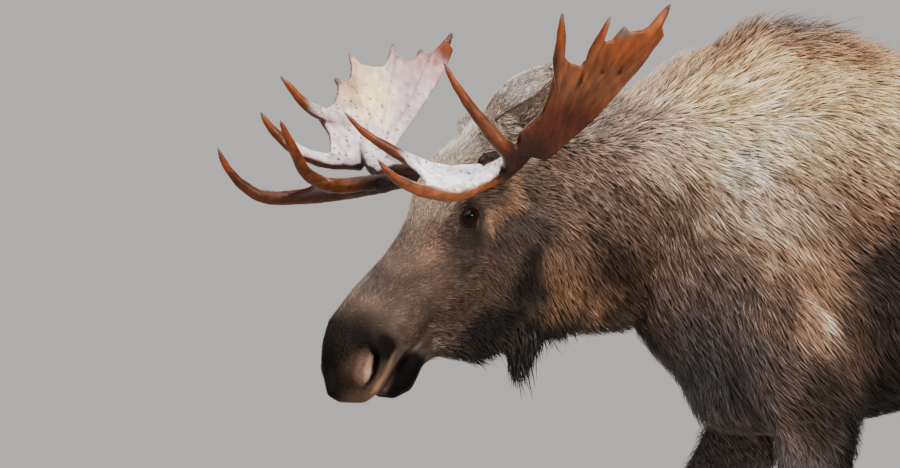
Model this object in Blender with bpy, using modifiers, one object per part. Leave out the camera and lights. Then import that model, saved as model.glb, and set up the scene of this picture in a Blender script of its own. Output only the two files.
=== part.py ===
"""Bull moose, life size, standing: closed solids out to the tips of the coat.

Metres, +Z up. The animal faces -Y, +X is its own left. The body is lofted whole, with its head
turned to its left, and parted by thin cuts into the pieces a person would name. Antlers, eyes and
hooves are pieces of their own.
"""

import math
from dataclasses import dataclass

import bmesh
import bpy
from mathutils import Matrix, Vector

# Driving dimensions
SHOULDER_HEIGHT = 1.935
HEAD_TURN = math.radians(12.0)
POLL_X = 0.05
POLL_Y = -0.72
FACE_SLOPE = math.radians(58.6)
POLL_HEIGHT = 1.60
EYE_RADIUS = 0.0215
EYE_PLACE = (0.083, 0.100, 1.464)
EYE_OPENING = (0.024, 0.016, 0.019)
NOSTRIL_PLACE = (0.568, 0.090, 0.022)
NOSTRIL_SIZE = (0.026, 0.014, 0.015)
BURR_PLACE = (0.035, 0.128, 1.575)
BURR_RADIUS = 0.041
BURR_THICKNESS = 0.014
PEDICLE_RADIUS = 0.034
HOOF_LENGTH = 0.135
HOOF_WIDTH = 0.052
HOOF_HEIGHT = 0.075
HOOF_POINT = 0.42
TOE_APART = 0.0295
TOE_SPLAY = 0.07
DEWCLAW_APART = 0.024

# Making
SEAM = 0.0006
CLEARANCE = 0.0005
BODY_VOXEL = 0.009
ANTLER_VOXEL = 0.0045
BODY_KEEP = 0.0102
FINE_PULL = 0.00001
HEAD_REACH = 0.50
HEAD_THINNING = 0.35
ANTLER_KEEP = 0.024
RING_POINTS = 28


@dataclass(frozen=True)
class Section:
    """One cross-section of a loft: a superellipse between a top and a bottom."""

    at: float
    top: float
    bottom: float
    half_width: float
    waist: float = 0.5
    crown: float = 2.0
    keel: float = 2.0
    shift: float = 0.0


@dataclass(frozen=True)
class Ring:
    """One ring of a limb: its share of the way down the joints, and half its width and depth."""

    way: float
    half_width: float
    half_depth: float
    back: float = 0.0


@dataclass(frozen=True)
class Tine:
    """A round point of an antler: its path from root to tip, and its radii there."""

    path: tuple
    root: float
    tip: float = 0.004
    start: float = 0.0


@dataclass(frozen=True)
class Ear:
    """One ear in the frame of the head.

    opening is the way it faces at the tip. At the root that way is turned by twist about the
    ear's length, and the flap nearest the neck curls further by lap.
    """

    root: tuple
    tip: tuple
    opening: tuple
    half_width: float
    twist: float = 0.0
    lap: float = 0.0


EAR_BASE = 0.55
EAR_BROADEST = 0.60
EAR_ROUND = 1.02
EAR_ROUNDING = 2.2
EAR_CURL = 1.45
EAR_UNCURL = 0.25
EAR_ARCH = 0.037
EAR_THICKNESS = 0.013
EAR_VOXEL = 0.004
EAR_KEEP = 0.027
EAR_CUT = 0.33
EAR_SLAB = 0.19
EAR_BULB = 0.032
EAR_BULB_AT = 0.06
EAR_ROWS = 14
EAR_COLUMNS = 12
EARS = {
    "ear_left": Ear((0.030, 0.056, 1.655), (-0.070, 0.190, 1.806), (-0.62, 0.02, -0.76), 0.083, -0.75, 0.45),
    "ear_right": Ear((-0.040, -0.055, 1.610), (-0.088, -0.205, 1.705), (-0.05, -0.70, -0.65), 0.064),
}

# Neck and trunk, along Y: from the poll to the rump
BODY = (
    Section(-0.70, 1.60, 1.30, 0.080, shift=0.045),
    Section(-0.64, 1.655, 1.215, 0.112, shift=0.036),
    Section(-0.56, 1.688, 1.190, 0.135, shift=0.026),
    Section(-0.45, 1.728, 1.188, 0.158, crown=1.9, shift=0.012),
    Section(-0.35, 1.776, 1.182, 0.185, crown=1.8, shift=0.005),
    Section(-0.27, 1.834, 1.095, 0.212, crown=1.7),
    Section(-0.20, 1.864, 0.995, 0.232, waist=0.42, crown=1.6),
    Section(-0.10, 1.928, 0.962, 0.252, waist=0.40, crown=1.5),
    Section(0.00, SHOULDER_HEIGHT, 0.962, 0.268, waist=0.40, crown=1.5),
    Section(0.14, 1.900, 0.985, 0.282, waist=0.42, crown=1.6),
    Section(0.26, 1.855, 1.010, 0.298, waist=0.42, crown=1.7),
    Section(0.52, 1.788, 1.022, 0.315, waist=0.44, crown=1.9, keel=2.1),
    Section(0.80, 1.752, 1.060, 0.302, waist=0.50, crown=2.0),
    Section(1.00, 1.736, 1.135, 0.280, waist=0.52, crown=2.0),
    Section(1.15, 1.712, 1.220, 0.250, waist=0.52, crown=2.0),
    Section(1.26, 1.655, 1.320, 0.190, waist=0.52, crown=2.0),
    Section(1.325, 1.585, 1.430, 0.090),
)

# Skull and muzzle, down the face from the poll: heights stand square to the face
SKULL = (
    Section(-0.085, 0.042, -0.13, 0.055),
    Section(-0.060, 0.068, -0.19, 0.086),
    Section(0.00, 0.087, -0.245, 0.110, waist=0.66),
    Section(0.06, 0.107, -0.275, 0.118, waist=0.69, crown=2.3),
    Section(0.145, 0.104, -0.285, 0.120, waist=0.72, crown=2.4),
    Section(0.215, 0.090, -0.280, 0.106, waist=0.66, crown=2.2),
    Section(0.285, 0.093, -0.268, 0.094, waist=0.58, crown=2.1),
    Section(0.345, 0.105, -0.240, 0.085, waist=0.56, crown=2.1),
    Section(0.400, 0.119, -0.175, 0.078, waist=0.50, crown=2.2),
    Section(0.455, 0.128, -0.085, 0.076, waist=0.45, crown=2.3),
    Section(0.510, 0.130, -0.048, 0.083, waist=0.42, crown=2.5),
    Section(0.560, 0.115, -0.050, 0.089, waist=0.45, crown=2.6),
    Section(0.602, 0.095, -0.050, 0.086, waist=0.46, crown=2.5),
    Section(0.630, 0.072, -0.036, 0.074, waist=0.46, crown=2.4),
    Section(0.650, 0.054, -0.012, 0.052, waist=0.48, crown=2.3),
    Section(0.662, 0.042, 0.008, 0.028),
)

# Lower jaw, in the same frame, with the hair that fringes it
JAW = (
    Section(0.27, -0.12, -0.245, 0.055),
    Section(0.33, -0.08, -0.262, 0.068, keel=1.7),
    Section(0.385, -0.07, -0.245, 0.066, keel=1.6),
    Section(0.425, -0.06, -0.212, 0.060, keel=1.7),
    Section(0.452, -0.058, -0.150, 0.052),
    Section(0.500, -0.046, -0.120, 0.047),
    Section(0.545, -0.040, -0.117, 0.048, crown=2.4),
    Section(0.580, -0.042, -0.100, 0.044, crown=2.4),
    Section(0.600, -0.050, -0.076, 0.028),
)

FORELEG = (
    Ring(0.00, 0.080, 0.120),
    Ring(0.35, 0.100, 0.165),
    Ring(0.75, 0.092, 0.150),
    Ring(1.05, 0.076, 0.115),
    Ring(1.35, 0.062, 0.092),
    Ring(1.65, 0.053, 0.068),
    Ring(1.88, 0.051, 0.056),
    Ring(2.00, 0.055, 0.058),
    Ring(2.14, 0.046, 0.051),
    Ring(2.35, 0.037, 0.044),
    Ring(2.75, 0.036, 0.043),
    Ring(3.00, 0.045, 0.053, back=0.006),
    Ring(3.50, 0.040, 0.043),
    Ring(3.95, 0.046, 0.050),
)

HINDLEG = (
    Ring(0.00, 0.090, 0.170),
    Ring(0.45, 0.118, 0.215),
    Ring(0.85, 0.105, 0.185),
    Ring(1.15, 0.085, 0.138),
    Ring(1.45, 0.064, 0.100),
    Ring(1.75, 0.052, 0.076),
    Ring(1.95, 0.050, 0.070, back=0.012),
    Ring(2.08, 0.047, 0.060, back=0.010),
    Ring(2.25, 0.039, 0.047),
    Ring(2.70, 0.037, 0.042),
    Ring(3.00, 0.046, 0.053, back=0.006),
    Ring(3.50, 0.040, 0.043),
    Ring(3.95, 0.046, 0.050),
)

# Joints of each leg, top to bottom: shoulder or hip, elbow or stifle, knee or hock, fetlock, coronet
LEGS = {
    "foreleg_left": (
        FORELEG,
        ((0.165, -0.10, 1.36), (0.195, 0.020, 1.02), (0.182, -0.012, 0.57), (0.176, 0.004, 0.175),
         (0.174, -0.066, 0.060)),
    ),
    "foreleg_right": (
        FORELEG,
        ((-0.165, -0.10, 1.36), (-0.190, -0.035, 1.01), (-0.180, -0.315, 0.585), (-0.172, -0.395, 0.180),
         (-0.170, -0.475, 0.060)),
    ),
    "hindleg_left": (
        HINDLEG,
        ((0.150, 1.120, 1.50), (0.170, 1.005, 1.06), (0.152, 1.180, 0.68), (0.146, 1.110, 0.175),
         (0.146, 1.040, 0.060)),
    ),
    "hindleg_right": (
        HINDLEG,
        ((-0.150, 1.130, 1.50), (-0.170, 1.080, 1.06), (-0.152, 1.285, 0.68), (-0.148, 1.300, 0.175),
         (-0.148, 1.232, 0.060)),
    ),
}

# Bell: the flap of skin and hair under the throat, down in the frame of the head
BELL = (
    Section(1.235, -0.030, -0.165, 0.045),
    Section(1.190, -0.036, -0.158, 0.036),
    Section(1.155, -0.042, -0.138, 0.028),
    Section(1.125, -0.048, -0.112, 0.020),
    Section(1.100, -0.058, -0.088, 0.010),
)

# Antlers in the frame of the head: forward, outward, up
BEAM = Tine(
    ((0.020, 0.090, 1.585), (0.050, 0.160, 1.566), (0.085, 0.240, 1.560), (0.103, 0.320, 1.570),
     (0.103, 0.390, 1.590), (0.090, 0.455, 1.630)),
    0.030,
    0.022,
)
PALM_FOOT = (0.45, 1.60)
PALM_LEAN = 0.50
PALM_THICKNESS = 0.014
PALM_SUNK = 0.004
BROW_THICKNESS = 0.013

LEFT_TINES = (
    Tine(((0.110, 0.330, 1.560), (0.170, 0.375, 1.545), (0.235, 0.405, 1.520), (0.311, 0.430, 1.516),
          (0.400, 0.450, 1.539), (0.440, 0.458, 1.564), (0.470, 0.460, 1.596)), 0.022),
    Tine(((0.130, 0.280, 1.566), (0.232, 0.270, 1.566), (0.300, 0.265, 1.590), (0.357, 0.260, 1.621),
          (0.412, 0.255, 1.655), (0.460, 0.250, 1.703)), 0.018),
    Tine(((0.115, 0.410, 1.580), (0.142, 0.448, 1.610), (0.176, 0.462, 1.634), (0.211, 0.464, 1.673),
          (0.251, 0.466, 1.719), (0.283, 0.466, 1.762), (0.311, 0.464, 1.815)), 0.021),
    Tine(((0.066, 0.550, 1.730), (0.074, 0.566, 1.810), (0.077, 0.590, 1.870), (0.083, 0.606, 1.925)),
         0.016, start=PALM_SUNK),
    Tine(((0.010, 0.552, 1.750), (-0.012, 0.566, 1.830), (-0.026, 0.590, 1.876), (-0.039, 0.606, 1.916)),
         0.015, start=PALM_SUNK),
    Tine(((-0.040, 0.560, 1.780), (-0.068, 0.580, 1.858), (-0.080, 0.592, 1.890)), 0.014, 0.006,
         start=PALM_SUNK),
    Tine(((-0.080, 0.560, 1.780), (-0.135, 0.590, 1.860), (-0.160, 0.606, 1.906), (-0.180, 0.616, 1.941)),
         0.018, 0.005, start=PALM_SUNK),
)
LEFT_PALM = (
    (0.125, 1.605), (0.128, 1.650), (0.082, 1.695), (0.073, 1.760), (0.074, 1.838), (0.045, 1.808),
    (0.010, 1.802), (-0.020, 1.850), (-0.052, 1.858), (-0.085, 1.878), (-0.125, 1.880), (-0.160, 1.905),
    (-0.176, 1.870), (-0.137, 1.800), (-0.095, 1.745), (-0.050, 1.685), (-0.005, 1.642), (0.050, 1.590),
)
LEFT_BROW = (
    ((0.120, 0.262, 1.566), (0.200, 0.262, 1.563), (0.270, 0.262, 1.577), (0.330, 0.262, 1.605)),
    ((0.130, 0.370, 1.545), (0.210, 0.405, 1.522), (0.290, 0.425, 1.514), (0.350, 0.438, 1.522)),
    0.30,
)

RIGHT_TINES = (
    Tine(((0.085, 0.240, 1.555), (0.144, 0.320, 1.535), (0.192, 0.380, 1.522), (0.249, 0.420, 1.514),
          (0.346, 0.460, 1.511), (0.390, 0.465, 1.530), (0.423, 0.465, 1.557), (0.450, 0.460, 1.590),
          (0.471, 0.457, 1.632)), 0.022),
    Tine(((0.150, 0.290, 1.545), (0.256, 0.290, 1.537), (0.325, 0.270, 1.564), (0.359, 0.250, 1.605),
          (0.393, 0.230, 1.653), (0.415, 0.220, 1.691)), 0.019),
    Tine(((0.110, 0.440, 1.590), (0.189, 0.470, 1.594), (0.247, 0.480, 1.612), (0.294, 0.490, 1.646),
          (0.326, 0.498, 1.682), (0.345, 0.500, 1.712)), 0.019),
    Tine(((0.090, 0.500, 1.680), (0.157, 0.487, 1.694), (0.212, 0.480, 1.710), (0.249, 0.475, 1.732),
          (0.279, 0.473, 1.764), (0.308, 0.470, 1.794)), 0.018),
    Tine(((0.070, 0.510, 1.710), (0.118, 0.538, 1.765), (0.136, 0.547, 1.789)), 0.013, 0.006,
         start=PALM_SUNK),
    Tine(((0.040, 0.530, 1.740), (0.074, 0.560, 1.812), (0.088, 0.580, 1.850)), 0.014, start=PALM_SUNK),
    Tine(((0.010, 0.535, 1.745), (-0.018, 0.568, 1.825), (-0.031, 0.592, 1.875)), 0.014,
         start=PALM_SUNK),
    Tine(((-0.055, 0.550, 1.760), (-0.088, 0.572, 1.828), (-0.102, 0.585, 1.858)), 0.013, 0.006,
         start=PALM_SUNK),
    Tine(((-0.105, 0.560, 1.780), (-0.150, 0.586, 1.842), (-0.174, 0.598, 1.875), (-0.190, 0.605, 1.898)),
         0.015, 0.005, start=PALM_SUNK),
)
RIGHT_PALM = (
    (0.130, 1.585), (0.186, 1.610), (0.178, 1.655), (0.200, 1.700), (0.150, 1.728), (0.130, 1.770),
    (0.100, 1.785), (0.086, 1.826), (0.044, 1.812), (0.013, 1.812), (-0.025, 1.850), (-0.056, 1.824),
    (-0.090, 1.840), (-0.124, 1.848), (-0.164, 1.880), (-0.180, 1.855), (-0.138, 1.794), (-0.080, 1.730),
    (-0.037, 1.685), (0.002, 1.646), (0.050, 1.595),
)
RIGHT_BROW = (
    ((0.120, 0.262, 1.560), (0.190, 0.275, 1.552), (0.256, 0.285, 1.548), (0.310, 0.275, 1.560)),
    ((0.130, 0.320, 1.538), (0.192, 0.380, 1.522), (0.249, 0.420, 1.514), (0.320, 0.450, 1.510)),
    0.30,
)

FUR_BROWN = (0.075, 0.050, 0.036)
FUR_BLACK = (0.022, 0.018, 0.017)
FUR_GREY = (0.20, 0.17, 0.15)
ANTLER_BROWN = (0.20, 0.085, 0.035)
HORN_BLACK = (0.020, 0.018, 0.017)
EYE_BROWN = (0.020, 0.008, 0.005)


def clear_scene():
    """Remove every object that the file opened with."""
    for thing in list(bpy.data.objects):
        bpy.data.objects.remove(thing, do_unlink=True)


def finish(name, colour, roughness):
    """Return a plain Principled material."""
    material = bpy.data.materials.new(name)
    material.use_nodes = True
    shader = material.node_tree.nodes["Principled BSDF"]
    shader.inputs["Base Color"].default_value = (*colour, 1.0)
    shader.inputs["Roughness"].default_value = roughness
    return material


def head_point(forward, left, up):
    """Return a world point from the frame of the turned head."""
    ahead = Vector((math.sin(HEAD_TURN), -math.cos(HEAD_TURN), 0.0))
    side = Vector((math.cos(HEAD_TURN), math.sin(HEAD_TURN), 0.0))
    return Vector((POLL_X, POLL_Y, up)) + ahead * forward + side * left


def head_direction(forward, left, up):
    """Return a unit vector from the frame of the turned head."""
    return (head_point(forward, left, up) - head_point(0.0, 0.0, 0.0)).normalized()


def face_point(down, left, out):
    """Return a world point from distances down the face and square out of it."""
    forward = down * math.cos(FACE_SLOPE) + out * math.sin(FACE_SLOPE)
    up = POLL_HEIGHT - down * math.sin(FACE_SLOPE) + out * math.cos(FACE_SLOPE)
    return head_point(forward, left, up)


def smooth_between(places, values, place):
    """Return the value at a place of a smooth curve through the given values."""
    last = len(places) - 1
    index = max(i for i in range(last) if places[i] <= place or i == 0)

    def slope(i):
        low = max(i - 1, 0)
        high = min(i + 1, last)
        return (values[high] - values[low]) / (places[high] - places[low])

    span = places[index + 1] - places[index]
    t = (place - places[index]) / span
    start = (2 * t**3 - 3 * t**2 + 1) * values[index] + (t**3 - 2 * t**2 + t) * span * slope(index)
    end = (3 * t**2 - 2 * t**3) * values[index + 1] + (t**3 - t**2) * span * slope(index + 1)
    return start + end


def superellipse(section_at, angle):
    """Return the side and height of a section's outline at an angle."""
    waist = section_at["bottom"] + section_at["waist"] * (section_at["top"] - section_at["bottom"])
    above = math.sin(angle) > 0
    power = 2.0 / (section_at["crown"] if above else section_at["keel"])
    reach = section_at["top"] - waist if above else waist - section_at["bottom"]
    side = math.copysign(abs(math.cos(angle)) ** power, math.cos(angle)) * section_at["half_width"]
    height = waist + math.copysign(abs(math.sin(angle)) ** power, math.sin(angle)) * reach
    return side + section_at["shift"], height


def skin_rings(rings):
    """Return a mesh that joins rings of points into one closed body."""
    shape = bmesh.new()
    loops = [[shape.verts.new(point) for point in ring] for ring in rings]
    for first, second in zip(loops, loops[1:]):
        for i in range(len(first)):
            j = (i + 1) % len(first)
            shape.faces.new((first[i], first[j], second[j], second[i]))
    shape.faces.new(loops[0][::-1])
    shape.faces.new(loops[-1])
    bmesh.ops.recalc_face_normals(shape, faces=shape.faces)
    mesh = bpy.data.meshes.new("loft")
    shape.to_mesh(mesh)
    shape.free()
    return mesh


def loft(sections, place, step=0.02):
    """Return a closed mesh through a run of sections.

    place turns a distance along the run, a side and a height into a world point.
    """
    fields = ("top", "bottom", "half_width", "waist", "crown", "keel", "shift")
    places = [s.at for s in sections]
    backwards = places[0] > places[-1]
    if backwards:
        sections = sections[::-1]
        places = places[::-1]
    count = max(2, round((places[-1] - places[0]) / step))
    rings = []
    for i in range(count + 1):
        at = places[0] + (places[-1] - places[0]) * i / count
        here = {f: smooth_between(places, [getattr(s, f) for s in sections], at) for f in fields}
        angles = [2 * math.pi * k / RING_POINTS for k in range(RING_POINTS)]
        rings.append([place(at, *superellipse(here, angle)) for angle in angles])
    return skin_rings(rings)


def limb(rings, joints, step=0.08):
    """Return a closed mesh along a chain of joints, with oval rings square to it."""
    joints = [Vector(j) for j in joints]
    ways = [float(i) for i in range(len(joints))]

    def on_chain(way):
        return Vector([smooth_between(ways, [j[axis] for j in joints], way) for axis in range(3)])

    places = [r.way for r in rings]
    count = round((places[-1] - places[0]) / step)
    outline = []
    for i in range(count + 1):
        way = places[0] + (places[-1] - places[0]) * i / count
        centre = on_chain(way)
        down = (on_chain(min(way + 0.05, ways[-1])) - on_chain(max(way - 0.05, 0.0))).normalized()
        back = down.cross(Vector((1.0, 0.0, 0.0))).normalized()
        back = back if back.y > 0 else -back
        side = back.cross(down).normalized()
        wide = smooth_between(places, [r.half_width for r in rings], way)
        deep = smooth_between(places, [r.half_depth for r in rings], way)
        centre = centre + back * smooth_between(places, [r.back for r in rings], way)
        angles = [2 * math.pi * k / RING_POINTS for k in range(RING_POINTS)]
        outline.append([centre + side * wide * math.cos(a) + back * deep * math.sin(a) for a in angles])
    return skin_rings(outline)


def ball(centre, radii, tilt=None, segments=24):
    """Return an ellipsoid mesh at a place."""
    shape = bmesh.new()
    bmesh.ops.create_uvsphere(shape, u_segments=segments, v_segments=segments // 2, radius=1.0)
    turn = tilt or Matrix.Identity(4)
    shape.transform(Matrix.Translation(centre) @ turn @ Matrix.Diagonal((*radii, 1.0)))
    mesh = bpy.data.meshes.new("ball")
    shape.to_mesh(mesh)
    shape.free()
    return mesh


def tube(path, root, tip, start=0.0, bend=4):
    """Return a closed tapering tube through a path, narrowing fastest near its tip.

    start, where given, is the radius of an end that is sunk in a plate.
    """
    curve = bpy.data.curves.new("tube", "CURVE")
    curve.dimensions = "3D"
    curve.resolution_u = bend
    curve.bevel_depth = 1.0
    curve.bevel_resolution = 3
    curve.use_fill_caps = True
    spline = curve.splines.new("BEZIER")
    spline.bezier_points.add(len(path) - 1)
    for index, (point, place) in enumerate(zip(spline.bezier_points, path)):
        way = index / (len(path) - 1)
        point.co = place
        point.handle_left_type = "AUTO"
        point.handle_right_type = "AUTO"
        point.radius = tip + (root - tip) * (1.0 - way**1.8)
        if start and index == 0:
            point.radius = start
    holder = bpy.data.objects.new("tube", curve)
    bpy.context.scene.collection.objects.link(holder)
    bpy.context.view_layer.update()
    mesh = bpy.data.meshes.new_from_object(holder.evaluated_get(bpy.context.evaluated_depsgraph_get()))
    bpy.data.objects.remove(holder)
    shape = bmesh.new()
    shape.from_mesh(mesh)
    bmesh.ops.remove_doubles(shape, verts=shape.verts, dist=0.00001)
    shape.to_mesh(mesh)
    shape.free()
    return mesh


def add(mesh, name, collection):
    """Link a mesh into a collection as a named object."""
    thing = bpy.data.objects.new(name, mesh)
    collection.objects.link(thing)
    return thing


def joined(meshes, name):
    """Return one mesh that holds all the given ones."""
    shape = bmesh.new()
    for mesh in meshes:
        shape.from_mesh(mesh)
    whole = bpy.data.meshes.new(name)
    shape.to_mesh(whole)
    shape.free()
    return whole


def baked(thing):
    """Return the mesh of an object with its modifiers applied, and remove the object."""
    bpy.context.view_layer.update()
    mesh = bpy.data.meshes.new_from_object(thing.evaluated_get(bpy.context.evaluated_depsgraph_get()))
    bpy.data.objects.remove(thing)
    return mesh


def fused(meshes, name, collection, voxel, keep, soften, fine=None):
    """Return one smooth closed mesh around overlapping ones, thinned to few triangles.

    fine gives the share of thinning at a point: 1 thins fully, less keeps more triangles.
    """
    whole = add(joined(meshes, name), name, collection)
    remesh = whole.modifiers.new("skin", "REMESH")
    remesh.mode = "VOXEL"
    remesh.voxel_size = voxel
    smooth = whole.modifiers.new("soften", "SMOOTH")
    smooth.factor = 0.5
    smooth.iterations = soften
    body = add(baked(whole), name, collection)
    thin = body.modifiers.new("thin", "DECIMATE")
    thin.ratio = keep
    if fine:
        group = body.vertex_groups.new(name="thin")
        for vertex in body.data.vertices:
            group.add([vertex.index], fine(vertex.co), "REPLACE")
        thin.vertex_group = group.name
        thin.vertex_group_factor = FINE_PULL
    mesh = baked(body)
    mesh.name = name
    return mesh


def with_boolean(mesh, name, collection, cutters, operation):
    """Return a mesh after a Boolean with the meshes of several cutters in turn."""
    body = add(mesh, name, collection)
    guides = []
    for index, cutter in enumerate(cutters):
        guide = add(cutter, f"{name}_guide_{index}", collection)
        guide.hide_render = True
        guide.display_type = "WIRE"
        step = body.modifiers.new(f"step_{index}", "BOOLEAN")
        step.operation = operation
        step.solver = "EXACT"
        step.object = guide
        guides.append(guide)
    result = baked(body)
    for guide in guides:
        bpy.data.objects.remove(guide)
    return result


def slab(centre, normal, size):
    """Return a thin square plate, a seam thick, that parts what it passes through."""
    shape = bmesh.new()
    bmesh.ops.create_cube(shape, size=1.0)
    turn = Vector(normal).to_track_quat("Z", "X").to_matrix().to_4x4()
    shape.transform(Matrix.Translation(centre) @ turn @ Matrix.Diagonal((size, size, SEAM, 1.0)))
    mesh = bpy.data.meshes.new("slab")
    shape.to_mesh(mesh)
    shape.free()
    return mesh


def grown(mesh, by):
    """Return a copy of a mesh pushed out along its normals."""
    shape = bmesh.new()
    shape.from_mesh(mesh)
    shape.normal_update()
    for vertex, normal in [(v, v.normal.copy()) for v in shape.verts]:
        vertex.co += normal * by
    copy = bpy.data.meshes.new("grown")
    shape.to_mesh(copy)
    shape.free()
    return copy


def loose_parts(mesh):
    """Return each separate body of a mesh as a mesh of its own."""
    shape = bmesh.new()
    shape.from_mesh(mesh)
    bmesh.ops.triangulate(shape, faces=shape.faces)
    shape.verts.ensure_lookup_table()
    left = set(range(len(shape.verts)))
    parts = []
    while left:
        queue = [left.pop()]
        found = set(queue)
        while queue:
            for edge in shape.verts[queue.pop()].link_edges:
                for vertex in edge.verts:
                    if vertex.index in left:
                        left.discard(vertex.index)
                        found.add(vertex.index)
                        queue.append(vertex.index)
        part = shape.copy()
        part.verts.ensure_lookup_table()
        others = [v for v in part.verts if v.index not in found]
        bmesh.ops.delete(part, geom=others, context="VERTS")
        piece = bpy.data.meshes.new("piece")
        part.to_mesh(piece)
        part.free()
        parts.append(piece)
    shape.free()
    return parts


def middle(mesh):
    """Return the mean of a mesh's vertices."""
    total = Vector()
    for vertex in mesh.vertices:
        total += vertex.co
    return total / len(mesh.vertices)


def named_parts(mesh, seeds, collection, material_of):
    """Name each body of a mesh by the nearest seed point, and add it to the collection."""
    parts = sorted(loose_parts(mesh), key=lambda part: -len(part.vertices))
    for name, seed in seeds.items():
        nearest = min(parts, key=lambda part: (middle(part) - Vector(seed)).length)
        parts.remove(nearest)
        nearest.name = name
        nearest.materials.clear()
        nearest.materials.append(material_of(name))
        nearest.shade_smooth()
        add(nearest, name, collection)
    if parts:
        raise ValueError(f"{len(parts)} bodies have no name, the first at {middle(parts[0])}")


def ear_mesh(ear):
    """Return one ear: a leaf scooped about its length, its opening turned down and back."""
    root = Vector(ear.root)
    tip = Vector(ear.tip)
    length = (tip - root).length
    axis = (tip - root).normalized()
    opening = Vector(ear.opening)
    opening = (opening - axis * opening.dot(axis)).normalized()
    shape = bmesh.new()
    grid = []
    for i in range(EAR_ROWS + 1):
        way = i / EAR_ROWS
        swell = min(1.0, way / EAR_BROADEST)
        round_off = max(0.0, way - EAR_BROADEST) / (EAR_ROUND - EAR_BROADEST)
        half = ear.half_width * (EAR_BASE + (1.0 - EAR_BASE) * math.sin(math.pi / 2 * swell))
        half *= math.sqrt(1.0 - round_off**EAR_ROUNDING)
        curl = EAR_CURL * (1.0 - EAR_UNCURL * way**2)
        inward = Matrix.Rotation(ear.twist * (1.0 - way), 3, axis) @ opening
        across = axis.cross(inward)
        row = []
        radius = half / math.sin(curl)
        for j in range(EAR_COLUMNS + 1):
            angle = curl * (2.0 * j / EAR_COLUMNS - 1.0)
            if angle > 0.0:
                angle *= 1.0 + ear.lap * (1.0 - way)
            out = across * (radius * math.sin(angle)) + inward * (radius * (1.0 - math.cos(angle)))
            arch = inward * (EAR_ARCH * math.sin(math.pi * way))
            point = root + axis * (length * way) + out - arch
            row.append(shape.verts.new(head_point(*point)))
        grid.append(row)
    for first, second in zip(grid, grid[1:]):
        for j in range(EAR_COLUMNS):
            shape.faces.new((first[j], first[j + 1], second[j + 1], second[j]))
    bmesh.ops.recalc_face_normals(shape, faces=shape.faces)
    mesh = bpy.data.meshes.new("ear")
    shape.to_mesh(mesh)
    shape.free()
    leaf = add(mesh, "ear", bpy.context.scene.collection)
    shell = leaf.modifiers.new("shell", "SOLIDIFY")
    shell.thickness = EAR_THICKNESS
    shell.offset = 0.0
    bulb = ball(head_point(*root.lerp(tip, EAR_BULB_AT)), (EAR_BULB,) * 3)
    return fused([baked(leaf), bulb], "ear", bpy.context.scene.collection, EAR_VOXEL, EAR_KEEP, 3)


def palm_mesh(outline, side):
    """Return the broad plate of an antler: a flat outline, thickened and set leaning out."""
    curve = bpy.data.curves.new("palm", "CURVE")
    curve.dimensions = "2D"
    curve.fill_mode = "BOTH"
    curve.extrude = PALM_THICKNESS / 2
    spline = curve.splines.new("POLY")
    spline.points.add(len(outline) - 1)
    spline.use_cyclic_u = True
    rise = math.hypot(1.0, PALM_LEAN)
    for point, (forward, up) in zip(spline.points, outline):
        point.co = (forward, (up - PALM_FOOT[1]) * rise, 0.0, 1.0)
    holder = bpy.data.objects.new("palm", curve)
    bpy.context.scene.collection.objects.link(holder)
    mesh = baked(holder)
    ahead = head_direction(1.0, 0.0, 0.0)
    outward = head_direction(0.0, side, 0.0)
    up = (Vector((0.0, 0.0, 1.0)) + outward * PALM_LEAN).normalized()
    foot = head_point(0.0, side * PALM_FOOT[0], PALM_FOOT[1])
    frame = Matrix((ahead, up, ahead.cross(up))).transposed().to_4x4()
    mesh.transform(Matrix.Translation(foot) @ frame)
    shape = bmesh.new()
    shape.from_mesh(mesh)
    bmesh.ops.remove_doubles(shape, verts=shape.verts, dist=0.00001)
    bmesh.ops.recalc_face_normals(shape, faces=shape.faces)
    shape.to_mesh(mesh)
    shape.free()
    return mesh


def brow_mesh(edges, side):
    """Return the brow plate: a web between two edges, hollowed at its front between the tines."""
    inner, outer, hollow = edges
    steps = 6
    shape = bmesh.new()
    rows = []
    for first, second in zip(inner, outer):
        row = []
        for j in range(steps + 1):
            t = j / steps
            point = Vector(first).lerp(Vector(second), t)
            if first is inner[-1]:
                back = Vector(inner[-2]).lerp(Vector(outer[-2]), t)
                point = point.lerp(back, hollow * 2.0 * math.sin(math.pi * t))
            row.append(shape.verts.new(head_point(point.x, side * point.y, point.z)))
        rows.append(row)
    for first, second in zip(rows, rows[1:]):
        for j in range(steps):
            shape.faces.new((first[j], first[j + 1], second[j + 1], second[j]))
    bmesh.ops.recalc_face_normals(shape, faces=shape.faces)
    mesh = bpy.data.meshes.new("brow")
    shape.to_mesh(mesh)
    shape.free()
    brow = add(mesh, "brow", bpy.context.scene.collection)
    shell = brow.modifiers.new("shell", "SOLIDIFY")
    shell.thickness = BROW_THICKNESS
    shell.offset = 0.0
    return baked(brow)


def burr_frame(side):
    """Return the centre of an antler's burr and the direction in which its beam leaves."""
    centre = head_point(BURR_PLACE[0], side * BURR_PLACE[1], BURR_PLACE[2])
    first, second = [head_point(f, side * l, u) for f, l, u in (BEAM.path[0], BEAM.path[2])]
    return centre, (second - first).normalized()


def disc(centre, axis, radius, low, high, sides=24):
    """Return a round plate about an axis, from one distance along it to another."""
    shape = bmesh.new()
    bmesh.ops.create_cone(shape, cap_ends=True, segments=sides, radius1=radius, radius2=radius,
                          depth=high - low)
    turn = axis.to_track_quat("Z", "X").to_matrix().to_4x4()
    shape.transform(Matrix.Translation(centre + axis * (low + high) / 2) @ turn)
    mesh = bpy.data.meshes.new("disc")
    shape.to_mesh(mesh)
    shape.free()
    return mesh


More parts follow.
